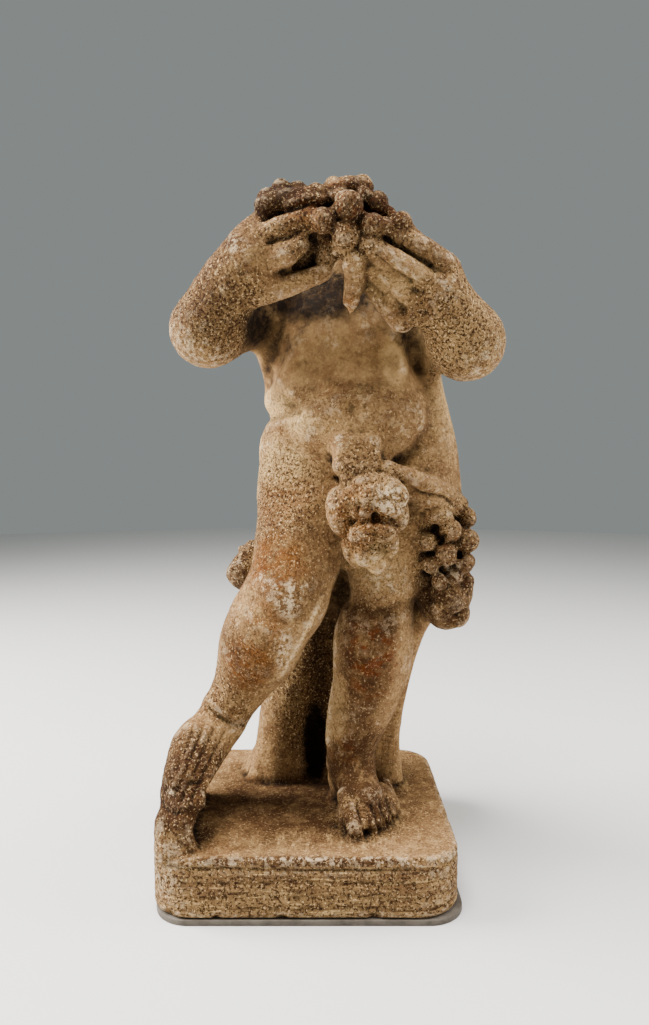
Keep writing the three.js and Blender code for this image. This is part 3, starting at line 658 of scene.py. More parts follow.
# The other marks: how strong each is everywhere, and soft patches over that.
MARKS: dict[str, tuple[float, tuple[Spot, ...]]] = {
    "smeared": (0.0, (
        ((10, -92, 0), (110, 30, 10), 0.5), ((96, -10, 0), (30, 80, 10), 0.6),
    )),
    "rusty": (0.1, (
        ((40, -110, 540), (76, 40, 34), 1.3), ((62, -44, 152), (34, 40, 50), 0.6),
        ((-38, -84, 192), (28, 50, 34), 0.8), ((-52, -76, 152), (32, 50, 42), 1.3),
        ((-30, -70, 246), (44, 54, 40), 1.25), ((44, -86, 284), (40, 40, 44), 0.9),
        ((30, -50, 396), (40, 50, 40), 0.15), ((-14, -100, 556), (50, 44, 30), 1.3),
        ((40, -100, 464), (12, 20, 14), 1.0), ((-100, -90, 40), (50, 50, 50), 0.6),
        ((-76, -60, 490), (54, 60, 50), 0.6), ((36, -30, 60), (24, 50, 20), 0.8),
        ((-20, -40, 300), (40, 60, 50), 0.5), ((138, -20, 250), (40, 60, 60), 0.7),
    )),
    "crusty": (0.04, (
        ((60, -50, 152), (32, 40, 50), 1.0), ((40, -108, 544), (80, 44, 34), 0.5),
        ((138, -20, 250), (40, 60, 50), 0.5), ((-24, -70, 236), (36, 40, 30), 0.4),
        ((30, -50, 400), (30, 40, 36), 0.35), ((40, -60, 60), (20, 40, 20), 0.5),
    )),
    "chalky": (0.0, (
        ((74, -94, 302), (22, 24, 19), 1.0), ((-15, -86, 214), (16, 24, 24), 0.6),
        ((-20, -76, 168), (11, 24, 32), 0.6), ((0, -126, -0.5), (150, 8, 2.6), 0.6),
        ((134, -46, 234), (18, 24, 14), 0.5), ((-118, -108, 4), (20, 24, 14), 0.45),
        ((74, -50, 228), (26, 40, 18), 0.5), ((36, -116, 552), (22, 16, 10), 0.5),
        ((0, -130, -12), (150, 8, 3), 0.5), ((-122, -114, -16), (24, 24, 26), 0.55),
        ((-117, -101, 48), (6, 8, 6), 1.0), ((-66, -48, 88), (10, 30, 8), 0.6),
    )),
    "bleach_and_highlight": (0.08, (
        # the first two patches, on the left flank's facet and the left hip's rim, and the one on the right
        # hip's side are painted highlights where the side lights fall; the rest are bleached, washed stone
        ((-30, -14, 392), (28, 60, 24), 1.0), ((-56, 0, 340), (16, 60, 70), 1.0),
        ((-6, -50, 372), (22, 40, 20), 0.8), ((80, -40, 424), (18, 40, 40), 0.8),
        ((126, 0, 380), (28, 60, 74), 0.9), ((-70, -50, 470), (70, 90, 80), 0.25),
        ((130, -56, 456), (60, 90, 70), 0.4), ((26, -30, 104), (20, 50, 50), 0.6),
        ((0, -126, -40), (150, 12, 24), 0.35), ((104, 0, 330), (40, 50, 60), 0.4),
        ((80, -98, 494), (46, 30, 40), 0.6), ((60, -80, 250), (24, 30, 22), 0.6),
        ((-12, -60, 170), (16, 40, 50), 0.3), ((66, -40, 240), (40, 50, 36), 0.5),
        ((-24, -30, 336), (44, 60, 34), 0.8), ((40, -50, 364), (50, 40, 30), 0.35),
        ((30, -50, 420), (56, 50, 50), 0.15), ((-18, 20, 110), (20, 50, 60), 0.5),
    )),
    "moss_and_shade": (0.12, (
        # the first five patches, on the chest under the arms and in both armpits, are painted shade in
        # olive; the rest are moss film
        ((36, -40, 446), (100, 60, 70), 0.35), ((10, -40, 484), (70, 50, 34), 0.8),
        ((-40, -40, 448), (24, 50, 36), 0.8), ((104, -34, 444), (14, 40, 34), 0.5),
        ((30, -50, 420), (60, 50, 50), 0.2), ((-14, -100, 556), (50, 44, 30), 0.9),
        ((50, -106, 540), (56, 40, 36), 0.4), ((56, -50, 150), (34, 50, 70), 0.3),
        ((-112, -90, 40), (50, 50, 60), 0.6), ((56, -98, 478), (30, 24, 24), 0.5),
        ((0, 0, 0), (160, 150, 12), 0.4), ((10, 50, 120), (90, 80, 150), 0.5),
    )),
    "stained": (0.14, (
        # the first patch, brown over the top of the chest under the hands, is painted shadow; the rest are
        # stains
        ((10, -30, 488), (70, 50, 30), 0.6), ((-20, -100, 556), (44, 44, 30), 1.0),
        ((52, -108, 540), (72, 50, 44), 0.7), ((58, -50, 180), (40, 60, 46), 0.85),
        ((54, -50, 140), (36, 60, 54), 0.95), ((48, -50, 96), (32, 60, 44), 0.6),
        ((0, -124, -2), (150, 9, 5), 1.1), ((-14, -80, 220), (44, 44, 44), 0.45),
        ((-60, -90, 520), (50, 44, 34), 0.8), ((100, -96, 508), (40, 40, 24), 0.7),
        ((-52, -76, 156), (40, 56, 54), 0.55), ((56, -40, 36), (60, 80, 66), 1.0),
        ((-106, -80, 40), (60, 66, 74), 0.95), ((0, 0, -4), (170, 160, 16), 0.85),
        ((0, -126, -30), (150, 10, 40), 0.35), ((138, -10, 240), (50, 70, 70), 0.8),
        ((128, -20, 200), (50, 60, 50), 0.8), ((-56, -54, 172), (40, 54, 40), 0.7),
        ((-70, -50, 112), (30, 40, 24), 0.2), ((-30, -40, 240), (60, 60, 60), 0.5),
        ((10, 50, 110), (100, 80, 140), 0.45), ((-66, 32, 228), (40, 50, 50), 0.7),
        ((10, -60, 256), (50, 40, 60), 0.4), ((120, -50, 500), (50, 50, 50), 0.4),
        ((-80, -60, 480), (66, 70, 74), 0.8), ((50, -66, 20), (60, 60, 40), 0.8),
        ((50, -70, 340), (30, 20, 26), 0.3),
    )),
}
STROKES: tuple[Stroke, ...] = (
    # armpit, ribs, flank, waist, belly and groin
    Stroke(8, 4.0, ((-4, 464), (-14, 455), (-26, 437), (-37, 418))),
    Stroke(9, 1.2, ((-9, 389), (6, 400), (20, 410))),
    Stroke(3.5, -1.4, ((-33, 418), (-20, 405), (-7, 392))),
    Stroke(5, 1.8, ((-42, 410), (-28, 394), (-14, 384))),
    Stroke(3, 2.2, ((-62, 375), (-34, 377), (-9, 380))),
    Stroke(6, -2.6, ((88, 456), (87, 440), (88, 425), (85, 408))),
    Stroke(4, 1.6, ((100, 460), (103, 446), (104, 430), (107, 414))),
    Stroke(6, 3.0, ((104, 402), (114, 380), (111, 364), (98, 350), (82, 337))),
    Stroke(8, 1.0, ((-20, 356), (4, 344), (24, 338))),
    Stroke(3, 1.2, ((-16, 347), (6, 331), (20, 325))),
    # gaps between the fingers, and under the foliage
    Stroke(2.0, 2.2, ((-30, 515), (-14, 519), (4, 526))),
    Stroke(2.0, 1.6, ((-34, 536), (-10, 541), (8, 546))),
    Stroke(1.8, 2.6, ((104, 497), (90, 504), (66, 517))),
    Stroke(1.8, 2.2, ((88, 483), (72, 491), (58, 502))),
    Stroke(2.0, 1.8, ((84, 463), (70, 474), (58, 486))),
    Stroke(2.6, 2.2, ((-24, 491), (-8, 496), (8, 502))),
    # gaps between the toes
    Stroke(1.5, 3.0, ((54, 2), (51, 14), (46, 24)), reach=(-110, -36)),
    Stroke(1.4, 2.9, ((66.5, 2), (64, 12), (59, 22)), reach=(-100, -26)),
    Stroke(1.3, 2.2, ((75, 2), (72, 11), (68, 20)), reach=(-94, -18)),
    Stroke(1.2, 2.0, ((81.5, 2), (79, 10), (75, 18)), reach=(-84, -10)),
    # the square leaf's foot
    Stroke(3.0, 2.0, ((26, 321), (46, 315), (64, 321))),
    # the flower's lobes
    Stroke(2.2, 2.2, ((43, 316), (46, 300), (44, 286))),
    Stroke(2.0, 1.2, ((40, 288), (58, 285), (80, 280))),
    Stroke(1.8, 2.0, ((59, 284), (60, 268))), Stroke(2.0, 1.8, ((42, 264), (56, 262), (72, 256))),
    Stroke(1.6, 1.0, ((56, 300), (60, 294), (61, 291))),
    # the twisted stem
    Stroke(1.8, 1.6, ((84, 318), (104, 308), (126, 304), (146, 288))),
    # the stepping ankle's crease
    Stroke(3.0, 2.0, ((-92, 105), (-76, 95), (-60, 85))),
    Stroke(3.0, -1.6, ((-92, 112), (-76, 102), (-58, 92))),
    # strands down the stepping foot
    Stroke(1.9, 1.7, ((-104, 90), (-113, 68), (-123, 48))),
    Stroke(1.7, 1.5, ((-96, 92), (-104, 68), (-114, 46))),
    Stroke(1.8, 1.7, ((-86, 90), (-97, 66), (-107, 44))),
    Stroke(1.7, 1.5, ((-76, 86), (-90, 62), (-100, 42))),
    Stroke(2.2, 1.2, ((-126, 36), (-112, 33), (-98, 38))),
    # the standing shin's worn edge
    Stroke(2.0, -1.0, ((30, 210), (27, 173), (25, 136), (21, 98), (19, 62))),
    # knees
    Stroke(6, 1.0, ((-48, 214), (-26, 196), (0, 200), (14, 214))),
    Stroke(6, 0.9, ((-34, 236), (-12, 230), (8, 236))),
    Stroke(6, 1.0, ((42, 202), (62, 196), (86, 204))),
    Stroke(5, 0.9, ((54, 222), (76, 218), (94, 224))),
    # layers on the plinth's sides
    Stroke(1.6, 1.3, ((-140, -9), (-60, -8), (20, -9.5), (140, -8.5))),
    Stroke(1.8, 0.8, ((-140, -21), (0, -20), (140, -22))),
    Stroke(1.8, 0.7, ((-140, -34), (30, -33), (140, -35))),
    Stroke(1.8, 0.7, ((-140, -44), (-30, -43.5), (140, -44))),
    # the stump's seam, and bark behind
    Stroke(3.0, 1.4, ((-12, 6), (-4, 70), (12, 130))),
    Stroke(2.6, 1.8, ((-26, 10), (-22, 70), (-4, 130), (14, 205)), Side.BACK),
    Stroke(2.6, 1.8, ((8, 6), (14, 70), (24, 130), (38, 200)), Side.BACK),
    Stroke(2.6, 1.8, ((38, 8), (38, 70), (46, 140), (56, 190)), Side.BACK),
)


def trim_foot(places: np.ndarray) -> np.ndarray:
    """Draws the stepping foot in to its straight outline, as seen from in front and a little above.

    Args:
        places: The body's points, in mm.

    Returns:
        The points, those of the foot drawn in.
    """
    eye_x, eye_y, eye_z = (size / MM for size in CAMERA)
    eye_z -= PLINTH_TOP
    far = places[:, 1] - eye_y
    fall = (eye_z - places[:, 2]) / far
    falls = (0.356, 0.377, 0.404, 0.434, 0.446, 0.469, 0.478, 0.503, 0.54)
    sides = (-0.108, -0.122, -0.139, -0.158, -0.165, -0.166, -0.176, -0.184, -0.176)
    limit = eye_x + np.interp(fall, falls, sides) * far
    over = np.maximum(places[:, 0] - limit, 0.0)
    share = smooth_step((70.0 - places[:, 2]) / 12.0) * smooth_step((-54.0 - places[:, 0]) / 8.0)
    share *= (places[:, 2] > -4.0) * smooth_step((22.0 - places[:, 1]) / 12.0)
    drawn = places.copy()
    drawn[:, 0] -= over * share
    return drawn


def roughness_of(places: np.ndarray) -> np.ndarray:
    """Weighs how rough the stone is at points.

    Args:
        places: The points, in mm.

    Returns:
        A weight from 0, smooth, to 1, heavily pitted.
    """
    rough = np.full(len(places), 0.26)
    for centre, radii, weight in ROUGH:
        rough = np.maximum(rough, weight * patch(places, centre, radii, 0.7))
    smooth = patch(places, (30, -50, 448), (70, 50, 56), 0.5) * (places[:, 1] > -78.0)
    rough *= 1.0 - 0.8 * np.maximum(smooth, bare_chest(places))
    plinth = smooth_step((1.0 - places[:, 2]) / 3.0) * 0.5
    return np.maximum(rough, plinth)


def bare_chest(places: np.ndarray) -> np.ndarray:
    """Weighs points by how far they are on the chest, behind the arms and between them."""
    across = smooth_step((places[:, 0] + 60.0) / 8.0) * smooth_step((118.0 - places[:, 0]) / 8.0)
    deep = smooth_step((places[:, 1] + 68.0) / 14.0) * smooth_step((30.0 - places[:, 1]) / 20.0)
    tall = smooth_step((places[:, 2] - 392.0) / 30.0) * smooth_step((496.0 - places[:, 2]) / 8.0)
    return across * deep * tall


def shade_and_grime_of(places: np.ndarray, closed: np.ndarray) -> np.ndarray:
    """Weighs the near-black painted shade, with some soot, in closed-in places, under the arms and along
    folds.

    Args:
        places: The points, in mm.
        closed: How closed in each point is, from 0 to 1.

    Returns:
        The weights. Those over 1 make a dark core wider.
    """
    shade_and_grime = smooth_step((closed - 0.55) / 0.5)
    # painted shadow under the raised arms and hands, where the chest is even a little closed in
    under_arms = patch(places, (30, -40, 460), (110, 70, 64), 0.5)
    shade_and_grime = np.maximum(shade_and_grime, under_arms * smooth_step((closed - 0.22) / 0.45))
    shade_and_grime = np.maximum(shade_and_grime, spots(places, SHADE_AND_GRIME, 0.0))
    front = smooth_step((16.0 - places[:, 1]) / 12.0) * (places[:, 1] > -70.0)
    for width, share, line in FOLDS:
        shade = share * np.exp(-((line_distance(places, line) / width) ** 2))
        shade_and_grime = np.maximum(shade_and_grime, shade * front)
    return shade_and_grime


def leg_edges(places: np.ndarray) -> np.ndarray:
    """Weighs points by how near they are to the pale inner edges of the shin and the calf."""
    shin = line_distance(places, ((30, 210), (27, 173), (25, 136), (21, 98), (19, 62)))
    calf = line_distance(places, ((14, 212), (-6, 173), (-23, 141)))
    return np.exp(-((np.minimum(shin, calf) / 2.0) ** 2)) * (places[:, 1] < 10.0)


@dataclass
class CastStatue:
    """The figure, its vine, fruit, stump and plinth, as the one casting that they are."""

    plinth: Place = (270.0, 250.0, PLINTH_HEIGHT)
    corner: float = 36.0
    edge: float = 5.0
    first_voxel: float = 2.2
    voxel: float = 1.9
    triangles: int = 190_000
    looks: int = 10
    look_far: float = 75.0
    levels: int = 24
    body: Piece | None = None
    extras: list[Piece] = field(default_factory=list)

    def build(self) -> Piece:
        """Builds the whole statue.

        Returns:
            The finished mesh.
        """
        self.start_body()
        self.sink_under_details()
        self.make_hands()
        self.make_bunch()
        self.make_vine()
        self.make_toes()
        self.make_trunk()
        self.make_plinth()
        self.fuse()
        self.carve()
        self.weather()
        self.thin()
        self.mark_surface()
        dress(self.body, StoneFinish().make())
        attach(self.body, "root")
        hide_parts("putto")
        return self.body

    def start_body(self) -> None:
        """Copies the cast solid, takes the figure off its plinth and rounds its facets off."""
        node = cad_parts["putto"]
        piece = node.copy()
        piece.data = node.data.copy()
        piece.parent = None
        for key in list(piece.keys()):
            del piece[key]
        bpy.context.scene.collection.objects.link(piece)
        piece.name = "statue_body"
        pick(piece)
        bpy.ops.object.mode_set(mode="EDIT")
        bpy.ops.mesh.select_all(action="SELECT")
        bpy.ops.mesh.remove_doubles(threshold=0.02 * MM)
        bpy.ops.mesh.select_all(action="SELECT")
        bpy.ops.mesh.bisect(
            plane_co=at(0, 0, 0.15), plane_no=(0, 0, 1), use_fill=True, clear_inner=True, clear_outer=False,
        )
        bpy.ops.mesh.extrude_region_move(TRANSFORM_OT_translate={"value": (0, 0, -8 * MM)})
        bpy.ops.mesh.select_all(action="SELECT")
        bpy.ops.mesh.normals_make_consistent(inside=False)
        bpy.ops.object.mode_set(mode="OBJECT")
        finish_with(piece, "REMESH", mode="VOXEL", voxel_size=self.first_voxel * MM)
        finish_with(piece, "SMOOTH", factor=0.5, iterations=9)
        self.body = piece

    def sink_under_details(self) -> None:
        """Takes a little off where crisp details are laid on anew."""
        places, normals = points_of(self.body)
        sink = np.zeros(len(places))
        for centre, radii, depth in (
            ((-18, -104, 520), (46, 34, 46), 2.6), ((84, -104, 488), (48, 34, 42), 2.6),
            ((34, -104, 530), (72, 40, 46), 3.0), ((38, -104, 486), (20, 34, 34), 2.6),
            ((54, -84, 300), (48, 36, 62), 2.6), ((140, -30, 246), (40, 48, 62), 2.6),
            ((64, -66, 10), (36, 44, 18), 2.0),
        ):
            sink = np.maximum(sink, depth * patch(places, centre, radii))
        put_points(self.body, trim_foot(places - normals * sink[:, None]))

    def make_hands(self) -> None:
        """Lays the fingers on, each a roll from its knuckle to its tip."""
        fingers = (
            ((-42, -95, 521, 11), (-20, -107, 529, 9.6), (6, -111, 536, 8)),
            ((-36, -95, 500, 11), (-18, -105, 506, 10.8), (-4, -108, 514.5, 8.4)),
            ((-46, -86, 478, 11.5), (-23, -94, 485, 8.4), (15, -98, 496.5, 6.4)),
            ((13, -92, 496, 7), (18, -96, 508, 8.4), (24, -98, 526, 8)),
            ((101, -101, 485, 13), (77, -111, 498, 11.4), (53, -114, 510.5, 9.4)),
            ((90, -96, 469, 9.5), (71, -104, 482, 8.6), (56, -106, 494.5, 7.6)),
            ((81, -88, 456, 9.5), (68, -94, 469, 8.6), (56, -96, 482, 7)),
            ((106, -97, 493, 9), (88, -105, 504, 8.5), (66, -108, 515, 7)),
            ((114, -99, 500, 13), (94, -107, 512, 11.5), (77, -110, 520.5, 9)),
        )
        for stations in fingers:
            self.extras += roll(*stations)

    def make_bunch(self) -> None:
        """Lays leaves and round fruit on between the hands, with the long tip below."""
        self.extras += [
            lump((-16, -101, 552), (27, 12, 9.5), (0, -8, 0)),
            lump((12, -101, 554.5), (20, 12, 10), (0, 4, 0)),
            lump((36, -99, 562), (22, 13, 10), (0, -6, 0)),
            lump((1, -110, 548), (20, 8, 6.6), (0, -8, 0)),
            lump((34, -115, 519), (11.8, 11, 14.5), (0, 10, 0)),
            lump((41, -111, 499), (10.5, 10, 13), (0, 6, 0)),
            # the last lump backs the gap between the hands and the chest; painted shade turns it dark
            lump((-2, -84, 502), (30, 8, 18), (0, -24, 0)),
        ]
        leaves = (
            (-31, -98, 556, 8), (-20, -96, 564, 8), (-6, -94, 563, 8), (9, -94, 562, 7.4),
            (48, -98, 566, 8.6), (24, -93, 567, 8), (37, -94, 568, 6.5),
        )
        fruit = (
            (15, -116, 531, 10.5), (36, -119, 542, 12), (55, -115, 527, 10.5), (65, -114, 526, 9),
            (60, -107, 549, 9), (79, -110, 530.5, 10), (92, -104, 520, 7.5), (68, -99, 540, 9),
            (30, -86, 558, 10), (56, -84, 546, 11), (8, -86, 549, 10), (73, -103, 536, 6.5),
            (47, -112, 534, 6), (24, -116, 538, 5), (49, -110, 554, 6), (28, -113, 552, 6),
            (86, -106, 527, 6), (48, -114, 515, 6), (27, -112, 508, 5), (50, -108, 503, 5),
        )
        for berry in leaves + fruit:
            self.extras.append(ball(*berry))
        self.extras += roll((42, -108, 491, 9.6), (40.5, -103, 480, 8.6), (37.5, -99, 471, 6))

    def make_vine(self) -> None:
        """Lays on the square leaf, the lobed flower, the twisted stem and the side bunch."""
        self.extras += [
            slab((45, -69, 342), (21.5, 11, 19), 8, (-14, 3, 0)), slab((46, -74, 324), (16, 8, 12), 6),
            lump((62, -82, 306), (28, 17, 20), (0, 6, 0)),
            lump((30, -77, 292), (12.5, 14, 22.5), (0, -8, 0)),
            lump((74, -87, 309), (17, 13, 13), (0, 30, 0)),
            lump((52, -88, 303), (14, 12, 11), (0, -16, 0)), lump((82, -78, 290), (9.5, 13, 15.5)),
            lump((74, -90, 296), (9, 9, 8), (0, 20, 0)), lump((48, -90, 291), (10, 8, 7)),
            lump((36, -84, 302), (10, 9, 11)), lump((50, -86, 272), (13.5, 12, 11.5)),
            lump((68, -86, 275.5), (11.5, 11, 10.5)), lump((57, -90, 279), (8, 8, 6)),
            lump((75, -77, 264), (7.5, 9, 13)), lump((34, -76, 277), (8, 9, 9)),
            lump((55, -78, 256), (14.5, 12, 14.5)), lump((62, -76, 246), (9, 8, 11), (0, -20, 0)),
        ]
        self.extras += roll((40, -74, 262, 8.6), (42, -70, 252, 8), (46, -66, 244, 5))
        self.extras += roll(
            (72, -73, 329, 8.6), (98, -63, 319, 9.6), (118, -49, 311, 10.6), (147, -12, 295, 9.6),
        )
        self.extras += roll((90, -62, 306, 6), (116, -51, 299, 7.4), (141, -27, 291, 7.6))
        grapes = (
            (133, -48, 273, 10.4), (151, -38, 262, 11), (112, -45, 262, 9.4), (130, -48, 250, 10.4),
            (147, -40, 241, 10), (153, -22, 284, 9), (152, 8, 268, 11), (146, 22, 246, 10),
            (116, -43, 240, 8.6), (151, -31, 222, 8.6), (156, -14, 262, 9), (158, -6, 280, 8),
            (154, -18, 240, 8.6), (150, 24, 270, 8), (138, -42, 228, 8), (124, -44, 224, 8),
        )
        self.extras.append(lump((123, -50, 287), (12.5, 9.5, 8.6), (0, 18, 0)))
        for berry in grapes:
            self.extras.append(ball(*berry))
        self.extras += [
            ball(121, -39, 198, 6.4), lump((134, -33, 254), (20, 13, 26)),
            lump((147, -16, 188), (11, 15, 13.5), (0, 20, 0)),
            lump((134, -34, 210), (17, 11, 19), (0, -24, 0)), lump((153, -8, 212), (9.5, 18, 20)),
            lump((149, -24, 202), (8, 10, 15), (0, 12, 0)),
        ]

    def make_toes(self) -> None:
        """Lays the toes on, each a roll back along its foot."""
        toes = (
            (45, -86, 8.5, 9.4), (61, -77, 7.5, 7.2), (71, -67, 7.5, 6.6), (78, -57, 7.2, 6.2),
            (83.5, -44, 7, 5.8),
        )
        for x, y, z, radius in toes:
            root = (x - 7, y + 34, z + 1.4 * radius, radius * 1.1)
            joint = (x - 2.5, y + 13, z + 0.7 * radius, radius * 0.92)
            self.extras += roll(root, joint, (x, y, z, radius))
        self.extras += [
            lump((-121, -92, 12), (13, 26, 24)), lump((-114, -104, 2), (18, 16, 12)),
            lump((-124, -66, 24), (9, 34, 30)), lump((-114, -48, 44), (10, 28, 24)),
            lump((-108, -92, 42), (15, 12, 13), (0, 24, 0)), ball(-117, -97, 47, 5.5),
        ]

    def make_trunk(self) -> None:
        """Lays bark ridges and roots on the back of the stump."""
        ridges = (
            ((-40, 84, 0, 12), (-34, 74, 50, 8), (-16, 68, 130, 8), (6, 66, 205, 8)),
            ((-8, 94, 0, 12), (-2, 86, 50, 9), (8, 80, 130, 9), (26, 74, 215, 9)),
            ((28, 98, 0, 12), (24, 90, 50, 9), (30, 86, 130, 9), (44, 76, 215, 9)),
            ((56, 84, 0, 12), (46, 82, 50, 8), (52, 78, 130, 8), (62, 70, 205, 8)),
            ((-52, 40, 0, 14), (-44, 40, 40, 9), (-36, 40, 92, 8), (-18, 38, 150, 8)),
            ((-30, 60, 244, 7), (-50, 56, 246, 6), (-70, 48, 244, 5)),
        )
        for stations in ridges:
            self.extras += roll(*stations)

    def make_plinth(self) -> None:
        """Makes the plinth's block, with round corners and softened edges."""
        width, depth, height = self.plinth
        bpy.ops.object.select_all(action="DESELECT")
        bpy.ops.mesh.primitive_cube_add(size=1.0, location=at(0, 0, -height / 2))
        piece = bpy.context.object
        piece.scale = (width * MM, depth * MM, height * MM)
        settle(piece)
        bevel_edges(piece, self.corner, 12, 0.9 * height * MM, height * MM * 1.1)
        bevel_edges(piece, self.edge, 4, 0.0, 0.1 * MM)
        self.extras.append(piece)

    def fuse(self) -> None:
        """Makes one skin of the body and all that was laid on."""
        self.body = join([self.body, *self.extras], "putto_stone")
        finish_with(self.body, "REMESH", mode="VOXEL", voxel_size=self.voxel * MM)
        finish_with(self.body, "SMOOTH", factor=0.5, iterations=2)

    def carve(self) -> None:
        """Chisels folds, gaps between fingers, veins and bark."""
        chisel(self.body, STROKES)

    def knock(self, dents: tuple[Spot, ...]) -> None:
        """Knocks dents into the stone.

        Args:
            dents: For each, its middle and radii in mm, and how deep it goes in mm.
        """
        places, normals = points_of(self.body)
        moved = places.copy()
        for centre, radii, depth in dents:
            moved -= normals * (depth * patch(places, centre, radii, 0.8))[:, None]
        put_points(self.body, moved)

    def weather(self) -> None:
        """Pits, roughens and chips the surface."""
        self.knock((
            ((-118, -122, -50), (8, 8, 6), 2.5), ((-76, -126, -52), (6, 7, 5), 2.2),
            ((-20, -126, -52), (7, 7, 5), 2.4), ((58, -126, -50), (9, 8, 7), 2.6),
            ((96, -124, -2), (10, 8, 5), 1.6), ((-60, -126, 0), (12, 7, 4), 1.4),
            ((20, -126, 0), (8, 6, 4), 1.4), ((-126, -112, -2), (10, 12, 6), 2.0),
            ((133, -40, -2), (6, 14, 5), 1.8), ((134, 40, -40), (6, 12, 8), 2.0),
            ((-134, 30, -30), (5, 16, 9), 1.8), ((40, 124, -8), (16, 5, 9), 2.0),
            ((60.5, -96, 288.5), (4.4, 20, 4.4), 7.0), ((124, -54, 266), (7, 14, 6), 6.0),
            ((142, -46, 250), (6, 14, 6), 6.0), ((-97, -102, 57), (6, 16, 3), 2.5),
            ((-6, -56, 382), (5, 14, 5), 1.6),
        ))
        places, _ = points_of(self.body)
        rough = roughness_of(places)
        self.roughen("crumble", "CLOUDS", 0.014, 0.9, rough * rough, 0.5)
        self.roughen("pitting", "VORONOI", 0.0065, -1.1, rough * rough, 0.62)
        everywhere = np.clip(0.25 + 0.75 * rough, 0, 1)
        self.roughen("swell", "CLOUDS", 0.045, 1.0, np.clip(everywhere + 0.2, 0, 1), 0.5)
        self.roughen("tooling", "STUCCI", 0.006, 0.6, everywhere, 0.5)

    def roughen(
        self, name: str, kind: str, size: float, strength: float, weights: np.ndarray, middle: float,
    ) -> None:
        """Moves the surface in and out by a procedural pattern.

        Args:
            name: A name for the pattern.
            kind: The pattern's type.
            size: The size of its features, in metres.
            strength: How far it moves the surface, in mm.
            weights: How much of it each vertex takes.
            middle: The pattern's value that leaves the surface where it is.
        """
        group = self.body.vertex_groups.new(name=name)
        steps = np.round(np.clip(weights, 0, 1) * self.levels).astype(int)
        for level in range(1, self.levels + 1):
            group.add(np.flatnonzero(steps == level).tolist(), level / self.levels, "REPLACE")
        pattern = bpy.data.textures.new(name, kind)
        pattern.noise_scale = size
        if kind == "CLOUDS":
            pattern.noise_depth = 3
        finish_with(
            self.body, "DISPLACE", texture=pattern, texture_coords="LOCAL", direction="NORMAL",
            strength=strength * MM, mid_level=middle, vertex_group=name,
        )
        self.body.vertex_groups.remove(self.body.vertex_groups[name])

    def thin(self) -> None:
        """Brings the mesh down to its triangle count, where the surface is flattest."""
        pick(self.body)
        finish_with(self.body, "TRIANGULATE")
        count = len(self.body.data.polygons)
        if count > self.triangles:
            finish_with(self.body, "DECIMATE", ratio=self.triangles / count)
        pick(self.body)
        bpy.ops.object.shade_smooth()
        LOG.info("statue: %d triangles from %d", len(self.body.data.polygons), count)

    def relax(self, values: np.ndarray, rounds: int) -> np.ndarray:
        """Spreads values over the mesh, from neighbour to neighbour.

        Args:
            values: One row for each vertex.
            rounds: How often it is done.

        Returns:
            The spread values.
        """
        mesh = self.body.data
        ends = np.empty(len(mesh.edges) * 2, np.int32)
        mesh.edges.foreach_get("vertices", ends)
        first, last = ends[0::2], ends[1::2]
        near = np.bincount(first, minlength=len(values)) + np.bincount(last, minlength=len(values))
        for _ in range(rounds):
            total = np.empty_like(values)
            for column in range(values.shape[1]):
                total[:, column] = np.bincount(first, values[last, column], len(values))
                total[:, column] += np.bincount(last, values[first, column], len(values))
            values = 0.5 * values + 0.5 * total / near[:, None]
        return values

    def shelter(self, places: np.ndarray, normals: np.ndarray) -> np.ndarray:
        """Finds how closed in each vertex is, by looking out a hand's breadth in several directions.

        Args:
            places: The vertices, in mm.
            normals: Their normals.

        Returns:
            A share from 0, open, to 1, closed in.
        """
        metres = places.copy()
        metres[:, 2] += PLINTH_TOP
        metres *= MM
        faces = [tuple(face.vertices) for face in self.body.data.polygons]
        tree = BVHTree.FromPolygons(metres.tolist(), faces, all_triangles=True)
        golden = math.pi * (3.0 - math.sqrt(5.0))
        looks = []
        for step in range(self.looks):
            rise = 0.95 - 0.85 * step / (self.looks - 1)
            flat = math.sqrt(1.0 - rise * rise)
            looks.append(Vector((flat * math.cos(golden * step), flat * math.sin(golden * step), rise)))
        met = np.zeros(len(places))
        for index, (place, normal) in enumerate(zip(metres.tolist(), normals.tolist())):
            up = Vector(normal)
            spin = up.to_track_quat("Z", "Y")
            start = Vector(place) + up * 0.0012
            count = 0
            for look in looks:
                if tree.ray_cast(start, spin @ look, self.look_far * MM)[0] is not None:
                    count += 1
            met[index] = count / len(looks)
        return met

    def relief_of(self, places: np.ndarray, normals: np.ndarray) -> tuple[np.ndarray, np.ndarray]:
        """Finds what is hollow and what stands out, against the surface spread smooth.

        Args:
            places: The vertices, in mm.
            normals: Their normals.

        Returns:
            Shares for painted shade, with some dirt, in hollows, and for wear on what stands out.
        """
        near = self.relax(places, 8)
        wide = self.relax(near, 34)
        dip = np.einsum("ij,ij->i", near - places, normals)
        valley = np.einsum("ij,ij->i", wide - places, normals)
        behind = places[:, 1] > 16.0
        # painted shade, with some dirt, in small hollows and broad valleys, fainter on the chest
        hollow = smooth_step((dip - 0.14) / 0.6) * (0.8 - spots(places, FAINTER_HOLLOWS, 0.0))
        hollow += smooth_step((valley - 1.8) / 2.6) * (0.4 - 0.25 * behind)
        worn = smooth_step((-dip - 0.28) / 0.5) * 0.8
        return np.clip(hollow, 0, 1), worn * (1.0 - 0.75 * spots(places, LESS_WORN, 0.0))

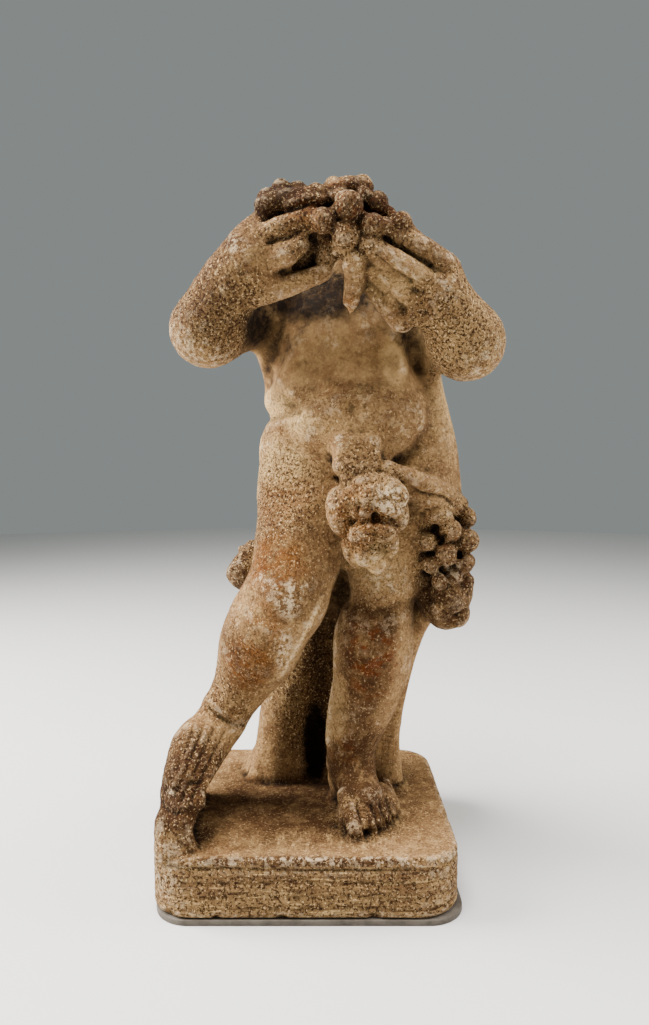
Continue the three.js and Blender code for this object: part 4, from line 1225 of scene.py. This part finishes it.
    def mark_surface(self) -> None:
        """Writes each mark of the stone, such as hollow, worn or stained, as an attribute of the mesh."""
        places, normals = points_of(self.body)
        hollow, worn = self.relief_of(places, normals)
        closed = self.relax(self.shelter(places, normals)[:, None], 2)[:, 0]
        flat = smooth_step((1.6 - places[:, 2]) / 1.0) * smooth_step((normals[:, 2] - 0.8) / 0.15)
        upright = smooth_step((0.6 - np.abs(normals[:, 2])) / 0.4)
        edges = leg_edges(places)
        marks = {
            "hollow": hollow,
            "worn": worn * (1.0 - closed),
            "shade_and_grime": shade_and_grime_of(places, closed),
            "pitted": roughness_of(places),
            "layered": smooth_step((-3.0 - places[:, 2]) / 3.0) * upright,
        }
        for name, (ground, patches) in MARKS.items():
            marks[name] = spots(places, patches, ground)
        marks["smeared"] *= flat
        marks["chalky"] = np.maximum(0.7 * edges, marks["chalky"])
        marks["bleach_and_highlight"] = np.maximum(edges, marks["bleach_and_highlight"])
        for name, values in marks.items():
            attribute = self.body.data.attributes.new(name, "FLOAT", "POINT")
            attribute.data.foreach_set("value", values.astype(np.float32))


# The sheet.


@dataclass
class PlinthSheet:
    """The thin grey sheet under the plinth, cut with the same round corners."""

    width: float = 271.0
    depth: float = 251.0
    corner: float = 32.0
    shift: float = 3.0
    rim: float = 0.7

    def build(self) -> Piece:
        """Builds and dresses the sheet.

        Returns:
            The sheet.
        """
        thick = SHEET_THICKNESS * MM
        bpy.ops.object.select_all(action="DESELECT")
        bpy.ops.mesh.primitive_cube_add(size=1.0, location=(self.shift * MM, 0, thick / 2))
        piece = bpy.context.object
        piece.name = "sheet_under_plinth"
        piece.scale = (self.width * MM, self.depth * MM, thick)
        settle(piece)
        bevel_edges(piece, self.corner, 14, 0.5 * thick, 1.1 * thick)
        finish_with(piece, "BEVEL", width=self.rim * MM, segments=2, limit_method="ANGLE")
        pick(piece)
        bpy.ops.object.shade_smooth_by_angle(angle=math.radians(35))
        dress(piece, SheetFinish().make())
        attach(piece, "root")
        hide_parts("plinth_sheet")
        return piece


# The studio.


@dataclass
class Studio:
    """A pale floor, soft light from above and the left, and the camera at the photo's angle."""

    focal_pixels: float = 740.0
    frame_pixels: float = 1025.0
    sensor: float = 36.0
    stand: Place = CAMERA
    tilt: float = 3.5

    def build(self) -> None:
        """Sets up the floor, the lights and the camera."""
        self.lay_floor()
        self.hang_light("left", (-1.5, 0.1, 1.1), (0.0, 0.0, 0.34), 1.0, 124.0, (1.0, 0.97, 0.93))
        self.hang_light("above", (-0.25, -0.4, 1.9), (0.0, 0.0, 0.3), 0.8, 82.0, (1.0, 0.98, 0.95))
        self.hang_light("right", (1.5, 0.0, 1.0), (0.03, 0.0, 0.3), 1.1, 46.0, (1.0, 0.97, 0.93))
        world = bpy.data.worlds.new("studio_air")
        bpy.context.scene.world = world
        world.use_nodes = True
        air = world.node_tree.nodes["Background"]
        air.inputs["Color"].default_value = (0.59, 0.65, 0.64, 1.0)
        air.inputs["Strength"].default_value = 0.40
        self.place_camera()

    def lay_floor(self) -> None:
        """Lays the pale floor."""
        bpy.ops.object.select_all(action="DESELECT")
        bpy.ops.mesh.primitive_circle_add(vertices=96, radius=4.0, fill_type="NGON", location=(0, 0, 0))
        floor = bpy.context.object
        floor.name = "studio_floor"
        mix = Nodes("pale_floor")
        mix.set(Base_Color=(0.62, 0.615, 0.605, 1.0), Roughness=0.6)
        dress(floor, mix.material)

    def hang_light(
        self, name: str, place: Place, aim: Place, size: float, power: float, colour: Colour,
    ) -> None:
        """Hangs one soft square light.

        Args:
            name: The light's name.
            place: Where it hangs, in metres.
            aim: The point that it faces.
            size: Its side, in metres.
            power: Its power, in watts.
            colour: Its colour.
        """
        bpy.ops.object.select_all(action="DESELECT")
        bpy.ops.object.light_add(type="AREA", location=place)
        light = bpy.context.object
        light.name = name
        light.rotation_euler = (Vector(aim) - Vector(place)).to_track_quat("-Z", "Y").to_euler()
        light.data.size = size
        light.data.energy = power
        light.data.color = colour

    def place_camera(self) -> None:
        """Places the camera where the photo was taken from."""
        bpy.ops.object.camera_add(location=self.stand, rotation=(math.radians(90.0 - self.tilt), 0, 0))
        camera = bpy.context.object
        camera.data.sensor_width = self.sensor
        camera.data.sensor_fit = "AUTO"
        camera.data.lens = self.focal_pixels * self.sensor / self.frame_pixels
        bpy.context.scene.camera = camera


def main() -> None:
    """Builds the statue, its sheet and the studio, and reports each piece."""
    logging.basicConfig(level=logging.INFO, format="%(message)s")
    statue = CastStatue().build()
    LOG.info("%s: %d faces", statue.name, len(statue.data.polygons))
    sheet = PlinthSheet().build()
    LOG.info("%s: %d faces", sheet.name, len(sheet.data.polygons))
    Studio().build()


if __name__ == "__main__":
    main()
